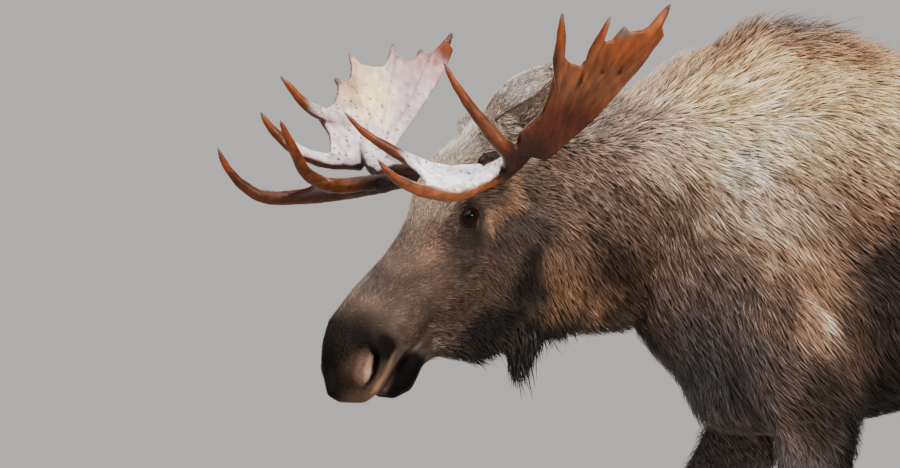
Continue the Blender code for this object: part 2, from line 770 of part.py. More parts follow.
def antler(word, side, tines, palm, brow, collection, material):
    """Make one antler and part it at its forks into beam, brow and palm."""
    centre, axis = burr_frame(side)
    places = [head_point(f, side * l, u) for f, l, u in BEAM.path]
    meshes = [tube(places, BEAM.root, BEAM.tip)]
    for tine in tines:
        places = [head_point(f, side * l, u) for f, l, u in tine.path]
        meshes.append(tube(places, tine.root, tine.tip, tine.start))
    meshes.append(palm_mesh(palm, side))
    meshes.append(brow_mesh(brow, side))
    meshes.append(disc(centre, axis, BURR_RADIUS, 0.0, BURR_THICKNESS))
    mesh = fused(meshes, f"antler_{word}", collection, ANTLER_VOXEL, ANTLER_KEEP, 3)
    cuts = [
        disc(centre, axis, BURR_RADIUS + 0.05, -0.12, CLEARANCE),
        slab(head_point(0.135, side * 0.33, 1.56), head_direction(0.80, 0.0, -0.25), 0.17),
        slab(head_point(0.10, side * 0.43, 1.60), head_direction(0.0, side * 0.62, 0.55), 0.20),
    ]
    parts = with_boolean(mesh, f"antler_{word}_whole", collection, cuts, "DIFFERENCE")
    seeds = {
        f"antler_{word}_beam": head_point(0.08, side * 0.25, 1.565),
        f"antler_{word}_brow": head_point(0.30, side * 0.36, 1.57),
        f"antler_{word}_palm": head_point(0.00, side * 0.55, 1.77),
    }
    named_parts(parts, seeds, collection, lambda name: material)


def toe_mesh(coronet, side_shift, splay):
    """Return one cloven toe: a wedge with a flat sole at the floor and a sloping front."""
    rows = (
        (0.000, 0.52, 0.50, -0.30),
        (0.012, 0.53, 0.52, -0.30),
        (0.040, 0.44, 0.46, -0.16),
        (HOOF_HEIGHT, 0.34, 0.40, 0.03),
    )
    rings = []
    points = 10
    for height, long, wide, ahead in rows:
        ring = []
        for k in range(points):
            angle = 2 * math.pi * k / points
            along = math.cos(angle)
            point_in = 1.0 - HOOF_POINT * max(along, 0.0) ** 1.5
            y = (ahead - along * long) * HOOF_LENGTH
            x = math.sin(angle) * wide * HOOF_WIDTH * point_in
            turned = Matrix.Rotation(splay, 2) @ Vector((x, y))
            ring.append(Vector((coronet.x + side_shift + turned.x, coronet.y + turned.y, height)))
        rings.append(ring)
    return skin_rings(rings)


def dewclaw_mesh(fetlock, side_shift):
    """Return one dewclaw: a blunt cone behind the fetlock, pointing down and back."""
    shape = bmesh.new()
    bmesh.ops.create_cone(shape, cap_ends=True, segments=10, radius1=0.008, radius2=0.017, depth=0.05)
    tilt = Matrix.Rotation(math.radians(-28.0), 4, "X")
    shape.transform(Matrix.Translation(fetlock + Vector((side_shift, 0.046, -0.055))) @ tilt)
    mesh = bpy.data.meshes.new("dewclaw")
    shape.to_mesh(mesh)
    shape.free()
    return mesh


def eye_opening(side):
    """Return the oval hollow in front of an eye that leaves it open between the lids."""
    forward, left, up = EYE_PLACE
    centre = head_point(forward, side * (left + EYE_RADIUS + 0.004), up)
    long, deep, high = EYE_OPENING
    return ball(centre, (deep, long, high), Matrix.Rotation(HEAD_TURN, 4, "Z"), segments=12)


def eye_mesh(side, radius=EYE_RADIUS):
    """Return one eyeball, or the socket it sits in."""
    centre = head_point(EYE_PLACE[0], side * EYE_PLACE[1], EYE_PLACE[2])
    return ball(centre, (radius,) * 3, segments=12)


def tail_mesh():
    """Return the short tail, hanging against the rump."""
    sections = (
        Section(1.56, 1.332, 1.260, 0.030),
        Section(1.53, 1.364, 1.285, 0.032),
        Section(1.48, 1.386, 1.312, 0.029),
        Section(1.43, 1.388, 1.335, 0.019),
        Section(1.395, 1.380, 1.352, 0.009),
    )
    return loft(sections, lambda at, side, height: Vector((side, height, at)), 0.01)


def shoulder_and_haunch():
    """Return the muscle masses that stand out at the tops of the legs."""
    masses = []
    for side in (1, -1):
        lean = Matrix.Rotation(math.radians(14.0), 4, "X")
        masses.append(ball(Vector((side * 0.150, 0.01, 1.36)), (0.118, 0.195, 0.36), lean))
        masses.append(ball(Vector((side * 0.155, 1.06, 1.40)), (0.122, 0.235, 0.29)))
    return masses


def pedicles():
    """Return the short stumps of the skull that carry the antlers."""
    return [disc(*burr_frame(side), PEDICLE_RADIUS, -0.09, 0.004) for side in (1, -1)]


def flesh(collection, material_of):
    """Make the body whole and part it into its named pieces."""
    masses = [
        loft(BODY, lambda at, side, height: Vector((side, at, height))),
        loft(SKULL, face_point, 0.012),
        loft(JAW, face_point, 0.012),
        loft(BELL, lambda at, side, height: head_point(height, side, at), 0.01),
        tail_mesh(),
        *shoulder_and_haunch(),
        *pedicles(),
        *[ball(head_point(-0.030, side * 0.066, 1.610), (0.050, 0.050, 0.058)) for side in (1, -1)],
    ]
    masses += [limb(rings, joints) for rings, joints in LEGS.values()]

    def fine(point):
        on_head = (point - face_point(0.25, 0.0, 0.0)).length < HEAD_REACH
        return HEAD_THINNING if on_head else 1.0

    body = fused(masses, "flesh", collection, BODY_VOXEL, BODY_KEEP, 4, fine)
    body = with_boolean(body, "flesh", collection, [ear_mesh(ear) for ear in EARS.values()], "UNION")
    bites = []
    for side in (1, -1):
        bites.append(eye_mesh(side, EYE_RADIUS + CLEARANCE))
        bites.append(eye_opening(side))
        down, left, out = NOSTRIL_PLACE
        turn = Matrix.Rotation(HEAD_TURN, 4, "Z") @ Matrix.Rotation(math.radians(-35.0), 4, "X")
        size = (NOSTRIL_SIZE[1], NOSTRIL_SIZE[2], NOSTRIL_SIZE[0])
        bites.append(ball(face_point(down, side * left, out), size, turn, segments=10))
        bites.append(disc(*burr_frame(side), BURR_RADIUS + 0.005, -CLEARANCE, 0.05))
    for toes, claws in feet().values():
        bites += [grown(mesh, CLEARANCE * 1.4) for mesh in (*toes, *claws)]
    body = with_boolean(body, "flesh", collection, bites, "DIFFERENCE")
    cuts = [
        slab(head_point(-0.160, 0.0, 1.425), head_direction(1.0, 0.0, -0.06), 0.56),
        slab(Vector((0.0, -0.325, 1.45)), Vector((0.0, 1.0, 0.0)), 0.95),
        slab(Vector((0.0, 1.336, 1.48)), Vector((0.0, 1.0, 0.0)), 0.24),
        slab(head_point(-0.095, 0.0, 1.168), head_direction(0.274, 0.0, 1.0), 0.155),
    ]
    cuts += [slab(Vector(joints[1]) + Vector((0.0, 0.0, -0.085)), Vector((0.0, 0.10, 1.0)), 0.40)
             for _, joints in LEGS.values()]
    for ear in EARS.values():
        length = Vector(ear.tip) - Vector(ear.root)
        base = Vector(ear.root) + length * EAR_CUT
        cuts.append(slab(head_point(*base), head_direction(*length), EAR_SLAB))
    cuts.append(jaw_cut())
    body = with_boolean(body, "flesh", collection, cuts, "DIFFERENCE")
    seeds = {
        "trunk": (0.0, 0.45, 1.45),
        "neck": (0.01, -0.46, 1.46),
        "head": face_point(0.28, 0.0, -0.02),
        "lower_jaw": face_point(0.50, 0.0, -0.10),
        "bell": head_point(-0.08, 0.0, 1.14),
        "tail": (0.0, 1.35, 1.46),
    }
    for name, ear in EARS.items():
        seeds[name] = head_point(*Vector(ear.root).lerp(Vector(ear.tip), 0.7))
    for name, (_, joints) in LEGS.items():
        seeds[name] = Vector(joints[2]) + Vector((0.0, 0.0, -0.1))
    named_parts(body, seeds, collection, material_of)


def jaw_cut():
    """Return the bent plate that parts the lower jaw along the mouth and down behind the chin."""
    line = ((0.66, -0.036), (0.575, -0.040), (0.505, -0.042), (0.458, -0.058), (0.425, -0.080),
            (0.415, -0.120), (0.415, -0.300))
    shape = bmesh.new()
    rows = [[shape.verts.new(face_point(down, side, out)) for side in (-0.13, 0.13)]
            for down, out in line]
    for first, second in zip(rows, rows[1:]):
        shape.faces.new((first[0], first[1], second[1], second[0]))
    mesh = bpy.data.meshes.new("jaw_cut")
    shape.to_mesh(mesh)
    shape.free()
    plate = add(mesh, "jaw_cut", bpy.context.scene.collection)
    shell = plate.modifiers.new("shell", "SOLIDIFY")
    shell.thickness = SEAM
    shell.offset = 0.0
    return baked(plate)


def feet():
    """Return the toe and dewclaw meshes of each leg."""
    made = {}
    for name, (_, joints) in LEGS.items():
        coronet = Vector(joints[4])
        fetlock = Vector(joints[3])
        toes = [toe_mesh(coronet, way * TOE_APART, -way * TOE_SPLAY) for way in (-1, 1)]
        claws = [dewclaw_mesh(fetlock, way * DEWCLAW_APART) for way in (-1, 1)]
        made[name] = (toes, claws)
    return made


def hooves(collection, horn):
    """Make every toe and dewclaw."""
    for leg, (toes, claws) in feet().items():
        for kind, meshes in (("toe", toes), ("dewclaw", claws)):
            for word, mesh in zip(("right", "left"), meshes):
                mesh.materials.append(horn)
                mesh.shade_smooth()
                mesh.set_sharp_from_angle(angle=math.radians(50.0))
                add(mesh, f"{kind}_{leg}_{word}", collection)


def eyes(collection, material):
    """Make both eyeballs."""
    for word, side in (("left", 1), ("right", -1)):
        mesh = eye_mesh(side)
        mesh.materials.append(material)
        mesh.shade_smooth()
        add(mesh, f"eye_{word}", collection)


def centre_on_floor(collection):
    """Move every piece so that the middle of the whole, at the floor, is the origin."""
    bpy.context.view_layer.update()
    points = [v.co for thing in collection.objects for v in thing.data.vertices]
    low = Vector([min(p[axis] for p in points) for axis in range(3)])
    high = Vector([max(p[axis] for p in points) for axis in range(3)])
    shift = Vector((-(low.x + high.x) / 2, -(low.y + high.y) / 2, -low.z))
    for mesh in {thing.data for thing in collection.objects}:
        mesh.transform(Matrix.Translation(shift))


def main():
    """Build the moose."""
    clear_scene()
    parts = bpy.data.collections.new("Moose")
    bpy.context.scene.collection.children.link(parts)
    brown = finish("fur_brown", FUR_BROWN, 0.85)
    black = finish("fur_black", FUR_BLACK, 0.85)
    grey = finish("fur_grey", FUR_GREY, 0.85)
    bone = finish("antler_bone", ANTLER_BROWN, 0.55)
    horn = finish("hoof_horn", HORN_BLACK, 0.45)
    wet = finish("eye_wet", EYE_BROWN, 0.05)

    def material_of(name):
        if name.startswith("ear"):
            return grey
        if "leg" in name or name in ("lower_jaw", "bell"):
            return black
        return brown

    flesh(parts, material_of)
    antler("left", 1, LEFT_TINES, LEFT_PALM, LEFT_BROW, parts, bone)
    antler("right", -1, RIGHT_TINES, RIGHT_PALM, RIGHT_BROW, parts, bone)
    hooves(parts, horn)
    eyes(parts, wet)
    centre_on_floor(parts)


main()
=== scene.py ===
"""Life-size bull moose: hide, coat, antlers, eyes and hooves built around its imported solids.

Metres, +Z up. The animal faces -Y and +X is its own left. One hide replaces the solids of flesh and
lies inside them by the depth of the coat; the coat stands on it in solid tufts that follow its lie.
Places on the head are given down the face from the poll, sideways and square out of the face;
places on the body are given sideways, back and up. Both sides of the animal are marked alike.
"""

from __future__ import annotations

import logging
import math
from dataclasses import dataclass
from enum import Enum
from typing import Any, Sequence

import bmesh
import bpy
import numpy as np
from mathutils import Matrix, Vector
from mathutils.bvhtree import BVHTree
from mathutils.kdtree import KDTree

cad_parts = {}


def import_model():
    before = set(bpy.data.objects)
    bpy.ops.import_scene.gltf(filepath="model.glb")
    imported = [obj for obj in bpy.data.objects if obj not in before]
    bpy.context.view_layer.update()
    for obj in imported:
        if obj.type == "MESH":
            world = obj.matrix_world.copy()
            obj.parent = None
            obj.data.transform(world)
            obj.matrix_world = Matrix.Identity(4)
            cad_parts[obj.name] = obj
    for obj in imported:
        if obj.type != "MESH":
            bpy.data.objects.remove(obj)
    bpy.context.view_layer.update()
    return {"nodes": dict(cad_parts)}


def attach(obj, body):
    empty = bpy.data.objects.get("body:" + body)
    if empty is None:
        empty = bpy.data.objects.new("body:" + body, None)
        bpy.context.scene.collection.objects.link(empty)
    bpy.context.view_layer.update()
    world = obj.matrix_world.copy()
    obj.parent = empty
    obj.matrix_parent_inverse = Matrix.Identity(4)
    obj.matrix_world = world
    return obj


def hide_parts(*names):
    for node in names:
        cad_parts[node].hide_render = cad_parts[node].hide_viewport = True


log = logging.getLogger("moose")

MM = 0.001
SEED = 41
BODY = "root"
TINT = "tint"
BAKE_MAP = "OFBake"
BAKE_PATCH = 0.003
WELD = 0.00002
SIDES = ("left", "right")
LEGS = ("foreleg_left", "foreleg_right", "hindleg_left", "hindleg_right")

Triple = tuple[float, float, float]
Array = np.ndarray
Mesh = bpy.types.Mesh
Thing = bpy.types.Object
Material = bpy.types.Material
Nodes = dict[str, Thing]


def linear(code: str) -> Array:
    """Turn an sRGB hex colour, such as "#8A4A22", into red, green and blue in linear light."""
    parts = [int(code[i : i + 2], 16) / 255.0 for i in (1, 3, 5)]
    return np.array([p / 12.92 if p <= 0.04045 else ((p + 0.055) / 1.055) ** 2.4 for p in parts])


def smooth_step(low: float, high: float, value: Array) -> Array:
    """Rise smoothly from 0 at low to 1 at high."""
    t = np.clip((value - low) / (high - low), 0.0, 1.0)
    return t * t * (3.0 - 2.0 * t)


def unit(vectors: Array) -> Array:
    """Scale each row to a length of one."""
    return vectors / np.maximum(np.linalg.norm(vectors, axis=-1, keepdims=True), 1e-9)


def distance(points: Array, place: Sequence[float]) -> Array:
    """Give how far each row is from one place."""
    return np.linalg.norm(points - np.array(place), axis=1)


def mixed(under: Array, over: Array, share: Array) -> Array:
    """Lay one value over another.

    Args:
        under: The value underneath, one to a row.
        over: The value on top.
        share: How much of the one on top shows, from 0 to 1 for each row.

    Returns:
        The mixture, one to a row.
    """
    if under.ndim > 1 and share.ndim == 1:
        share = share[:, None]
    return under * (1.0 - share) + over * share


def waves(points: Array, size: float, seed: int, count: int = 9) -> Array:
    """Make a smooth random field from -1 to 1.

    Args:
        points: Places, one to a row.
        size: Distance in metres over which the field changes.
        seed: Picks the field.
        count: How many waves are summed.

    Returns:
        The field at each place.
    """
    rng = np.random.default_rng(seed)
    ways = unit(rng.normal(size=(count, 3))) * rng.uniform(0.6, 1.6, (count, 1)) * (math.pi / size)
    phases = rng.uniform(0.0, 2.0 * math.pi, count)
    return np.sin(points @ ways.T + phases).sum(axis=1) / math.sqrt(count * 1.2)


@dataclass(frozen=True)
class HeadFrame:
    """Where the poll is, which way the head turns, and how steeply the face slopes."""

    poll_x: float = 0.0109
    poll_y: float = -0.77606
    poll_height: float = 1.60
    turn: float = math.radians(12.0)
    slope: float = math.radians(58.6)

    def axes(self) -> Array:
        """Give the head's forward, left and up directions, one to a row."""
        sine, cosine = math.sin(self.turn), math.cos(self.turn)
        return np.array([(sine, -cosine, 0.0), (cosine, sine, 0.0), (0.0, 0.0, 1.0)])

    def to_head(self, points: Array) -> Array:
        """Give forward, left and up of each place."""
        return (points - np.array([self.poll_x, self.poll_y, 0.0])) @ self.axes().T

    def from_head(self, points: Array) -> Array:
        """Give the places that lie forward, left and up by these distances."""
        return np.asarray(points) @ self.axes() + np.array([self.poll_x, self.poll_y, 0.0])

    def to_face(self, points: Array) -> Array:
        """Give the distance down the face, to the left and out of it for each place.

        Args:
            points: Places on the animal.

        Returns:
            The three distances, a place to a row.
        """
        head = self.to_head(points)
        below = self.poll_height - head[:, 2]
        down = head[:, 0] * math.cos(self.slope) + below * math.sin(self.slope)
        out = head[:, 0] * math.sin(self.slope) - below * math.cos(self.slope)
        return np.stack([down, head[:, 1], out], axis=1)


HEAD = HeadFrame()


class Part(Enum):
    """The frame in which a place on the animal is given."""

    BODY = "sideways, back, up"
    FACE = "down the face, sideways, out of it"
    HEAD = "forward, sideways, up"

    @property
    def sideways(self) -> int:
        """Give the number of the column that holds the distance to the side."""
        return 0 if self is Part.BODY else 1


class Places:
    """The same points in the frames of the body, the head and the face, sides folded together."""

    def __init__(self, points: Array) -> None:
        """Work out the frames of the points once.

        Args:
            points: Places on the animal, one to a row.
        """
        self.points = points
        head = HEAD.to_head(points)
        face = HEAD.to_face(points)
        self.side = np.where(points[:, 0] >= 0.0, 1.0, -1.0)
        self.head_side = np.where(head[:, 1] >= 0.0, 1.0, -1.0)
        self.frames = {Part.BODY: points.copy(), Part.HEAD: head, Part.FACE: face}
        for part, where in self.frames.items():
            where[:, part.sideways] = np.abs(where[:, part.sideways])

    def __getitem__(self, part: Part) -> Array:
        """Give the points in one frame."""
        return self.frames[part]


@dataclass(frozen=True)
class Spot:
    """A soft-edged patch of the animal and the value it holds.

    centre and radii are in the frame of part; tilt turns the patch in the side view, in degrees,
    and core is the share of the radius over which the patch is at full strength.
    """

    part: Part
    centre: Triple
    radii: Triple
    value: Any
    tilt: float = 0.0
    core: float = 0.3

    def strength(self, places: Places) -> Array:
        """Give the weight of the patch at each place, from 0 to 1.

        Args:
            places: Where to work it out.

        Returns:
            The weights.
        """
        away = places[self.part] - np.array(self.centre)
        side = self.part.sideways
        along, up = away[:, 1 - side], away[:, 2]
        sine, cosine = math.sin(math.radians(self.tilt)), math.cos(math.radians(self.tilt))
        turned = {side: away[:, side], 1 - side: along * cosine + up * sine, 2: -along * sine + up * cosine}
        reach = np.sqrt(sum((value / self.radii[column]) ** 2 for column, value in turned.items()))
        return 1.0 - smooth_step(self.core, 1.0, reach)


def airbrush(base: Any, spots: Sequence[Spot], places: Places) -> Array:
    """Lay patches over a base value, one after another.

    Args:
        base: The value where there is no patch: one number or several.
        spots: The patches, the last on top.
        places: Where to work the value out.

    Returns:
        The value at each place, one to a row.
    """
    value = np.tile(np.array(base, float), (len(places.points), 1))
    for spot in spots:
        value = mixed(value, np.array(spot.value, float), spot.strength(places))
    return value


def face(down: float, side: float, out: float, radii: Triple, value: Any = 1.0, **more: float) -> Spot:
    """Name a patch in the frame of the face."""
    return Spot(Part.FACE, (down, side, out), radii, value, **more)


def skull(forward: float, side: float, up: float, radii: Triple, value: Any = 1.0, **more: float) -> Spot:
    """Name a patch in the frame of the head."""
    return Spot(Part.HEAD, (forward, side, up), radii, value, **more)


def body(back: float, up: float, radii: Triple, value: Any = 1.0, **more: float) -> Spot:
    """Name a patch in the frame of the body, across both of its sides."""
    return Spot(Part.BODY, (0.0, back, up), radii, value, **more)


# ---------------------------------------------------------------- shape of the hide

FLESH = ("trunk", "neck", "head", "lower_jaw", "bell", "tail", "ear_left", "ear_right", *LEGS)


@dataclass(frozen=True)
class Crease:
    """A groove (or, with a negative depth, a ridge) along a line on the hide.

    depth and width are in millimetres, side is how far to the side it begins and ends, and shade is
    how strongly painted shade darkens the hide and coat along it.
    """

    part: Part
    line: tuple[tuple[float, float], ...]
    depth: float
    width: float
    side: tuple[float, float] = (0.0, 9.0)
    shade: float = 0.0

    def depth_at(self, places: Places) -> Array:
        """Give how deep the groove is at each place.

        Args:
            places: Where to work it out.

        Returns:
            The depths in metres.
        """
        where = places[self.part]
        side = self.part.sideways
        flat = where[:, [1 - side, 2]]
        nearest = np.full(len(flat), 9.0)
        way = np.zeros(len(flat))
        count = len(self.line) - 1
        for index, (start, end) in enumerate(zip(self.line, self.line[1:])):
            start, end = np.array(start), np.array(end)
            step = end - start
            t = np.clip(((flat - start) @ step) / (step @ step), 0.0, 1.0)
            away = np.linalg.norm(flat - start - t[:, None] * step, axis=1)
            closer = away < nearest
            nearest[closer] = away[closer]
            way[closer] = (index + t[closer]) / count
        inside = smooth_step(self.side[0] - 0.008, self.side[0] + 0.008, where[:, side])
        inside *= 1.0 - smooth_step(self.side[1] - 0.01, self.side[1] + 0.01, where[:, side])
        ends = 0.25 + 0.75 * np.sin(math.pi * np.clip(way, 0.02, 0.98)) ** 0.5
        return self.depth * MM * ends * inside * np.exp(-((nearest / (self.width * MM)) ** 2))


NOSTRIL_SLIT = (
    (0.532, 0.052), (0.541, 0.032), (0.552, 0.017), (0.572, 0.008), (0.598, 0.006), (0.622, 0.010),
)
NOSTRIL_RIM = ((0.524, 0.036), (0.538, 0.012), (0.560, -0.004), (0.600, -0.007))
MOUTH_LINE = ((0.625, -0.038), (0.575, -0.045), (0.515, -0.050), (0.478, -0.055), (0.450, -0.064))
MOUTH_CORNER = ((0.474, -0.036), (0.445, -0.047), (0.408, -0.047), (0.375, -0.066), (0.345, -0.088))
NOSTRIL = Crease(Part.FACE, NOSTRIL_SLIT, 16, 6.2, (0.050, 0.20), 0.95)
NOSTRIL_FOLD = Crease(Part.FACE, ((0.540, 0.062), (0.556, 0.036), (0.580, 0.022), (0.612, 0.020)),
                      -3, 8, (0.05, 0.2))

CREASES = (
    NOSTRIL,
    Crease(Part.FACE, NOSTRIL_RIM, -3, 7, (0.05, 0.2)),
    NOSTRIL_FOLD,
    Crease(Part.FACE, MOUTH_LINE, 9, 5.5, shade=0.85),
    Crease(Part.FACE, MOUTH_CORNER, 8, 7, (0.03, 0.2), 0.55),
    Crease(Part.FACE, ((0.478, -0.048), (0.452, -0.058), (0.420, -0.060)), -4, 5, (0.03, 0.2)),
    Crease(Part.FACE, ((0.448, -0.072), (0.428, -0.080), (0.410, -0.098)), 5, 4.5, (0.03, 0.2), 0.4),
    Crease(Part.FACE, ((0.462, -0.078), (0.446, -0.092), (0.438, -0.114)), 4, 4, (0.02, 0.2), 0.35),
    Crease(Part.FACE, ((0.438, -0.066), (0.418, -0.074), (0.398, -0.088)), -3, 5, (0.03, 0.2)),
    Crease(Part.FACE, ((0.470, -0.044), (0.452, -0.036), (0.425, -0.036)), 3, 5, (0.04, 0.2)),
    Crease(Part.FACE, ((0.27, 0.012), (0.33, -0.005), (0.39, -0.018)), -4, 22, (0.05, 0.2)),
    Crease(Part.FACE, ((0.25, -0.050), (0.33, -0.045), (0.40, -0.030)), 4, 20, (0.05, 0.2)),
    Crease(Part.FACE, ((0.10, -0.110), (0.20, -0.150), (0.30, -0.165)), -6, 34, (0.05, 0.2)),
    Crease(Part.BODY, ((-0.42, 1.14), (-0.425, 1.26), (-0.410, 1.38), (-0.375, 1.50)), 16, 24),
    Crease(Part.BODY, ((-0.36, 1.10), (-0.33, 1.28), (-0.28, 1.46)), -9, 50),
    Crease(Part.BODY, ((0.02, 1.16), (0.10, 1.30), (0.04, 1.52), (-0.08, 1.72)), 9, 42),
    Crease(Part.BODY, ((-0.20, 1.00), (-0.10, 1.12), (0.02, 1.20)), -9, 60),
    Crease(Part.BODY, ((0.62, 1.20), (0.74, 1.34), (0.82, 1.52)), 10, 60),
    Crease(Part.BODY, ((0.92, 1.62), (1.06, 1.50), (1.14, 1.34)), -8, 60),
)

# How far the hide lies inside the tips of the coat, in millimetres
COAT_DEPTH = (
    body(0.1, 1.95, (0.3, 0.75, 0.28), 34),
    body(-0.50, 1.40, (0.4, 0.28, 0.40), 22),
    body(0.5, 0.55, (0.5, 2.2, 0.62), 11, core=0.7),
    body(0.5, 0.15, (0.5, 2.2, 0.38), 5, core=0.6),
    face(0.20, 0.0, -0.08, (0.36, 0.2, 0.24), 9, core=0.6),
    face(0.28, 0.0, 0.02, (0.22, 0.2, 0.15), 5, core=0.5),
    face(0.42, 0.0, 0.07, (0.18, 0.2, 0.14), 4.5, core=0.65),
    face(0.58, 0.0, 0.00, (0.16, 0.2, 0.20), 2.0, core=0.6),
    face(0.38, 0.0, -0.235, (0.14, 0.2, 0.075), 20),
    face(0.33, 0.0, -0.330, (0.16, 0.2, 0.085), 15),
    skull(-0.02, 0.15, 1.73, (0.20, 0.16, 0.13), 3.2, core=0.55),
    skull(0.10, 0.10, 1.50, (0.10, 0.12, 0.09), 5, core=0.5),
)
COAT_DEPTH_BASE = 24.0


@dataclass(frozen=True)
class Lids:
    """The lids of an eye: a ball with an almond opening, given in the frame of the head.

    Past brim times the ball's radius they fall away at the slope fall, from brim_height times it,
    and past fade times their reach they run into the hide.
    """

    centre: Triple = (0.083, 0.100, 1.464)
    gaze: Triple = (0.24, 0.96, 0.08)
    corner: Triple = (0.80, -0.24, -0.55)
    ball: float = 0.0225
    half_length: float = 0.0198
    half_height: float = 0.0166
    thickness: float = 0.0026
    reach: float = 0.036
    sunk: float = 0.0040
    edge: float = 0.0022
    behind: float = -0.012
    brim: float = 0.80
    brim_height: float = 0.60
    fall: float = 0.75
    fade: float = 0.42
    # Each fold's depth, its gap from the edge, its width, and between which heights it runs
    folds: tuple[tuple[float, ...], ...] = (
        (0.0030, 0.0075, 0.0024, -0.004, 9.0), (0.0018, 0.0085, 0.0022, -9.0, 0.004),
        (0.0021, 0.0150, 0.0030, 0.0, 9.0), (-0.0022, 0.0110, 0.0028, 0.0, 9.0),
    )

    def axes(self) -> Array:
        """Give the directions to the front corner, up across the lids and out, one to a row.

        Returns:
            Three unit directions in the frame of the head.
        """
        out = unit(np.array(self.gaze))
        front = np.array(self.corner)
        front = unit(front - out * (front @ out))
        across = np.cross(out, front)
        return np.stack([front, across if across[2] > 0 else -across, out])

    def place(self, head: Array) -> Array:
        """Give the places of the hide with the lids drawn round the ball.

        Args:
            head: Forward, sideways and up of each place, with the side folded.

        Returns:
            The new places in the same frame.
        """
        axes = self.axes()
        local = (head - np.array(self.centre)) @ axes.T
        along, across, out = local.T
        rim = (self.span(local) - 1.0) * (self.half_length + self.half_height) / 2.0
        spread = np.hypot(along, across)
        ball = np.sqrt(np.maximum(self.ball**2 - np.minimum(spread, self.ball * 0.97) ** 2, 0.0))
        beyond = np.maximum(spread - self.ball * self.brim, 0.0)
        brim = self.ball * self.brim_height - beyond * self.fall
        lid = np.where(beyond > 0.0, brim, ball) + self.thickness
        for fold, gap, width, start, end in self.folds:
            lid = lid - fold * np.exp(-(((rim - gap) / width) ** 2)) * (across > start) * (across < end)
        hidden = ball - self.sunk
        target = np.where(rim < 0.0, hidden, mixed(hidden, lid, smooth_step(0.0, self.edge, rim)))
        blend = 1.0 - smooth_step(self.reach * self.fade, self.reach, spread)
        blend = np.where((spread < self.reach) & (out > self.behind), blend, 0.0)
        moved = local.copy()
        moved[:, 2] = out + (target - out) * blend
        return moved @ axes + np.array(self.centre)

    def span(self, local: Array) -> Array:
        """Give how far out each place is, where 1 is on the edge of the lids."""
        return np.sqrt((local[:, 0] / self.half_length) ** 2 + (local[:, 1] / self.half_height) ** 2)


LIDS = Lids()


def read(items: Any, name: str, width: int, kind: type = float) -> Array:
    """Give one property of some of a mesh's elements.

    Args:
        items: The elements, such as the mesh's vertices.
        name: The property.
        width: How many numbers it has.
        kind: The type of its numbers.

    Returns:
        Its numbers, an element to a row.
    """
    flat = np.empty(len(items) * width, kind)
    items.foreach_get(name, flat)
    return flat.reshape(-1, width)


def read_points(mesh: Mesh) -> Array:
    """Give a mesh's vertex places, one to a row."""
    return read(mesh.vertices, "co", 3)


def read_normals(mesh: Mesh) -> Array:
    """Give a mesh's vertex normals, one to a row."""
    return read(mesh.vertex_normals, "vector", 3)


def read_edges(mesh: Mesh) -> Array:
    """Give the two vertex numbers of each edge, one edge to a row."""
    return read(mesh.edges, "vertices", 2, np.int32)


def write_points(mesh: Mesh, points: Array) -> None:
    """Move a mesh's vertices to these places."""
    mesh.vertices.foreach_set("co", np.ascontiguousarray(points, np.float32).ravel())
    mesh.update()


def spread_out(values: Array, edges: Array) -> Array:
    """Give the mean of each vertex's neighbours.

    Args:
        values: A vertex's numbers to a row.
        edges: The two vertex numbers of each edge.

    Returns:
        The means, in the same rows.
    """
    ends = np.concatenate([edges[:, 0], edges[:, 1]])
    others = np.concatenate([edges[:, 1], edges[:, 0]])
    count = len(values)
    degree = np.maximum(np.bincount(ends, minlength=count), 1)
    total = [np.bincount(ends, weights=column[others], minlength=count) for column in values.T]
    return np.stack(total, axis=1) / degree[:, None]


def softened(normals: Array, edges: Array, rounds: int) -> Array:
    """Even out the normals of a surface, each with its neighbours'.

    Args:
        normals: The vertices' normals.
        edges: The two vertex numbers of each edge.
        rounds: How many times they are evened out.

    Returns:
        The new normals.
    """
    for _ in range(rounds):
        normals = unit(normals + spread_out(normals, edges))
    return normals


def relax(mesh: Mesh, rounds: int, share: Array | None = None) -> Array:
    """Even out a surface without shrinking it, by steps inward and a little further outward.

    Args:
        mesh: The mesh, which is changed.
        rounds: How many pairs of steps are taken.
        share: How strongly each vertex is evened out, from 0 to 1; fully where not given.

    Returns:
        The vertices' new places.
    """
    points = read_points(mesh)
    edges = read_edges(mesh)
    share = np.ones(len(points)) if share is None else share
    for _ in range(rounds):
        for step in (0.55, -0.57):
            points = points + (spread_out(points, edges) - points) * (step * share[:, None])
    write_points(mesh, points)
    return points


def new_object(name: str, data: bpy.types.ID) -> Thing:
    """Link a mesh, a light or a camera into the scene as an object at the origin.

    Args:
        name: The object's name.
        data: What it holds.

    Returns:
        The object.
    """
    thing = bpy.data.objects.new(name, data)
    bpy.context.scene.collection.objects.link(thing)
    return thing


def dressed(name: str, mesh: Mesh, material: Material) -> Thing:
    """Make a smooth object of one material from a mesh.

    Args:
        name: The object's name.
        mesh: Its mesh.
        material: Its material.

    Returns:
        The object.
    """
    mesh.shade_smooth()
    mesh.materials.clear()
    mesh.materials.append(material)
    return new_object(name, mesh)


def baked(thing: Thing) -> Mesh:
    """Give an object's mesh with its modifiers applied, and remove the object.

    Args:
        thing: The object.

    Returns:
        A mesh of its own.
    """
    bpy.context.view_layer.update()
    mesh = bpy.data.meshes.new_from_object(thing.evaluated_get(bpy.context.evaluated_depsgraph_get()))
    bpy.data.objects.remove(thing)
    return mesh


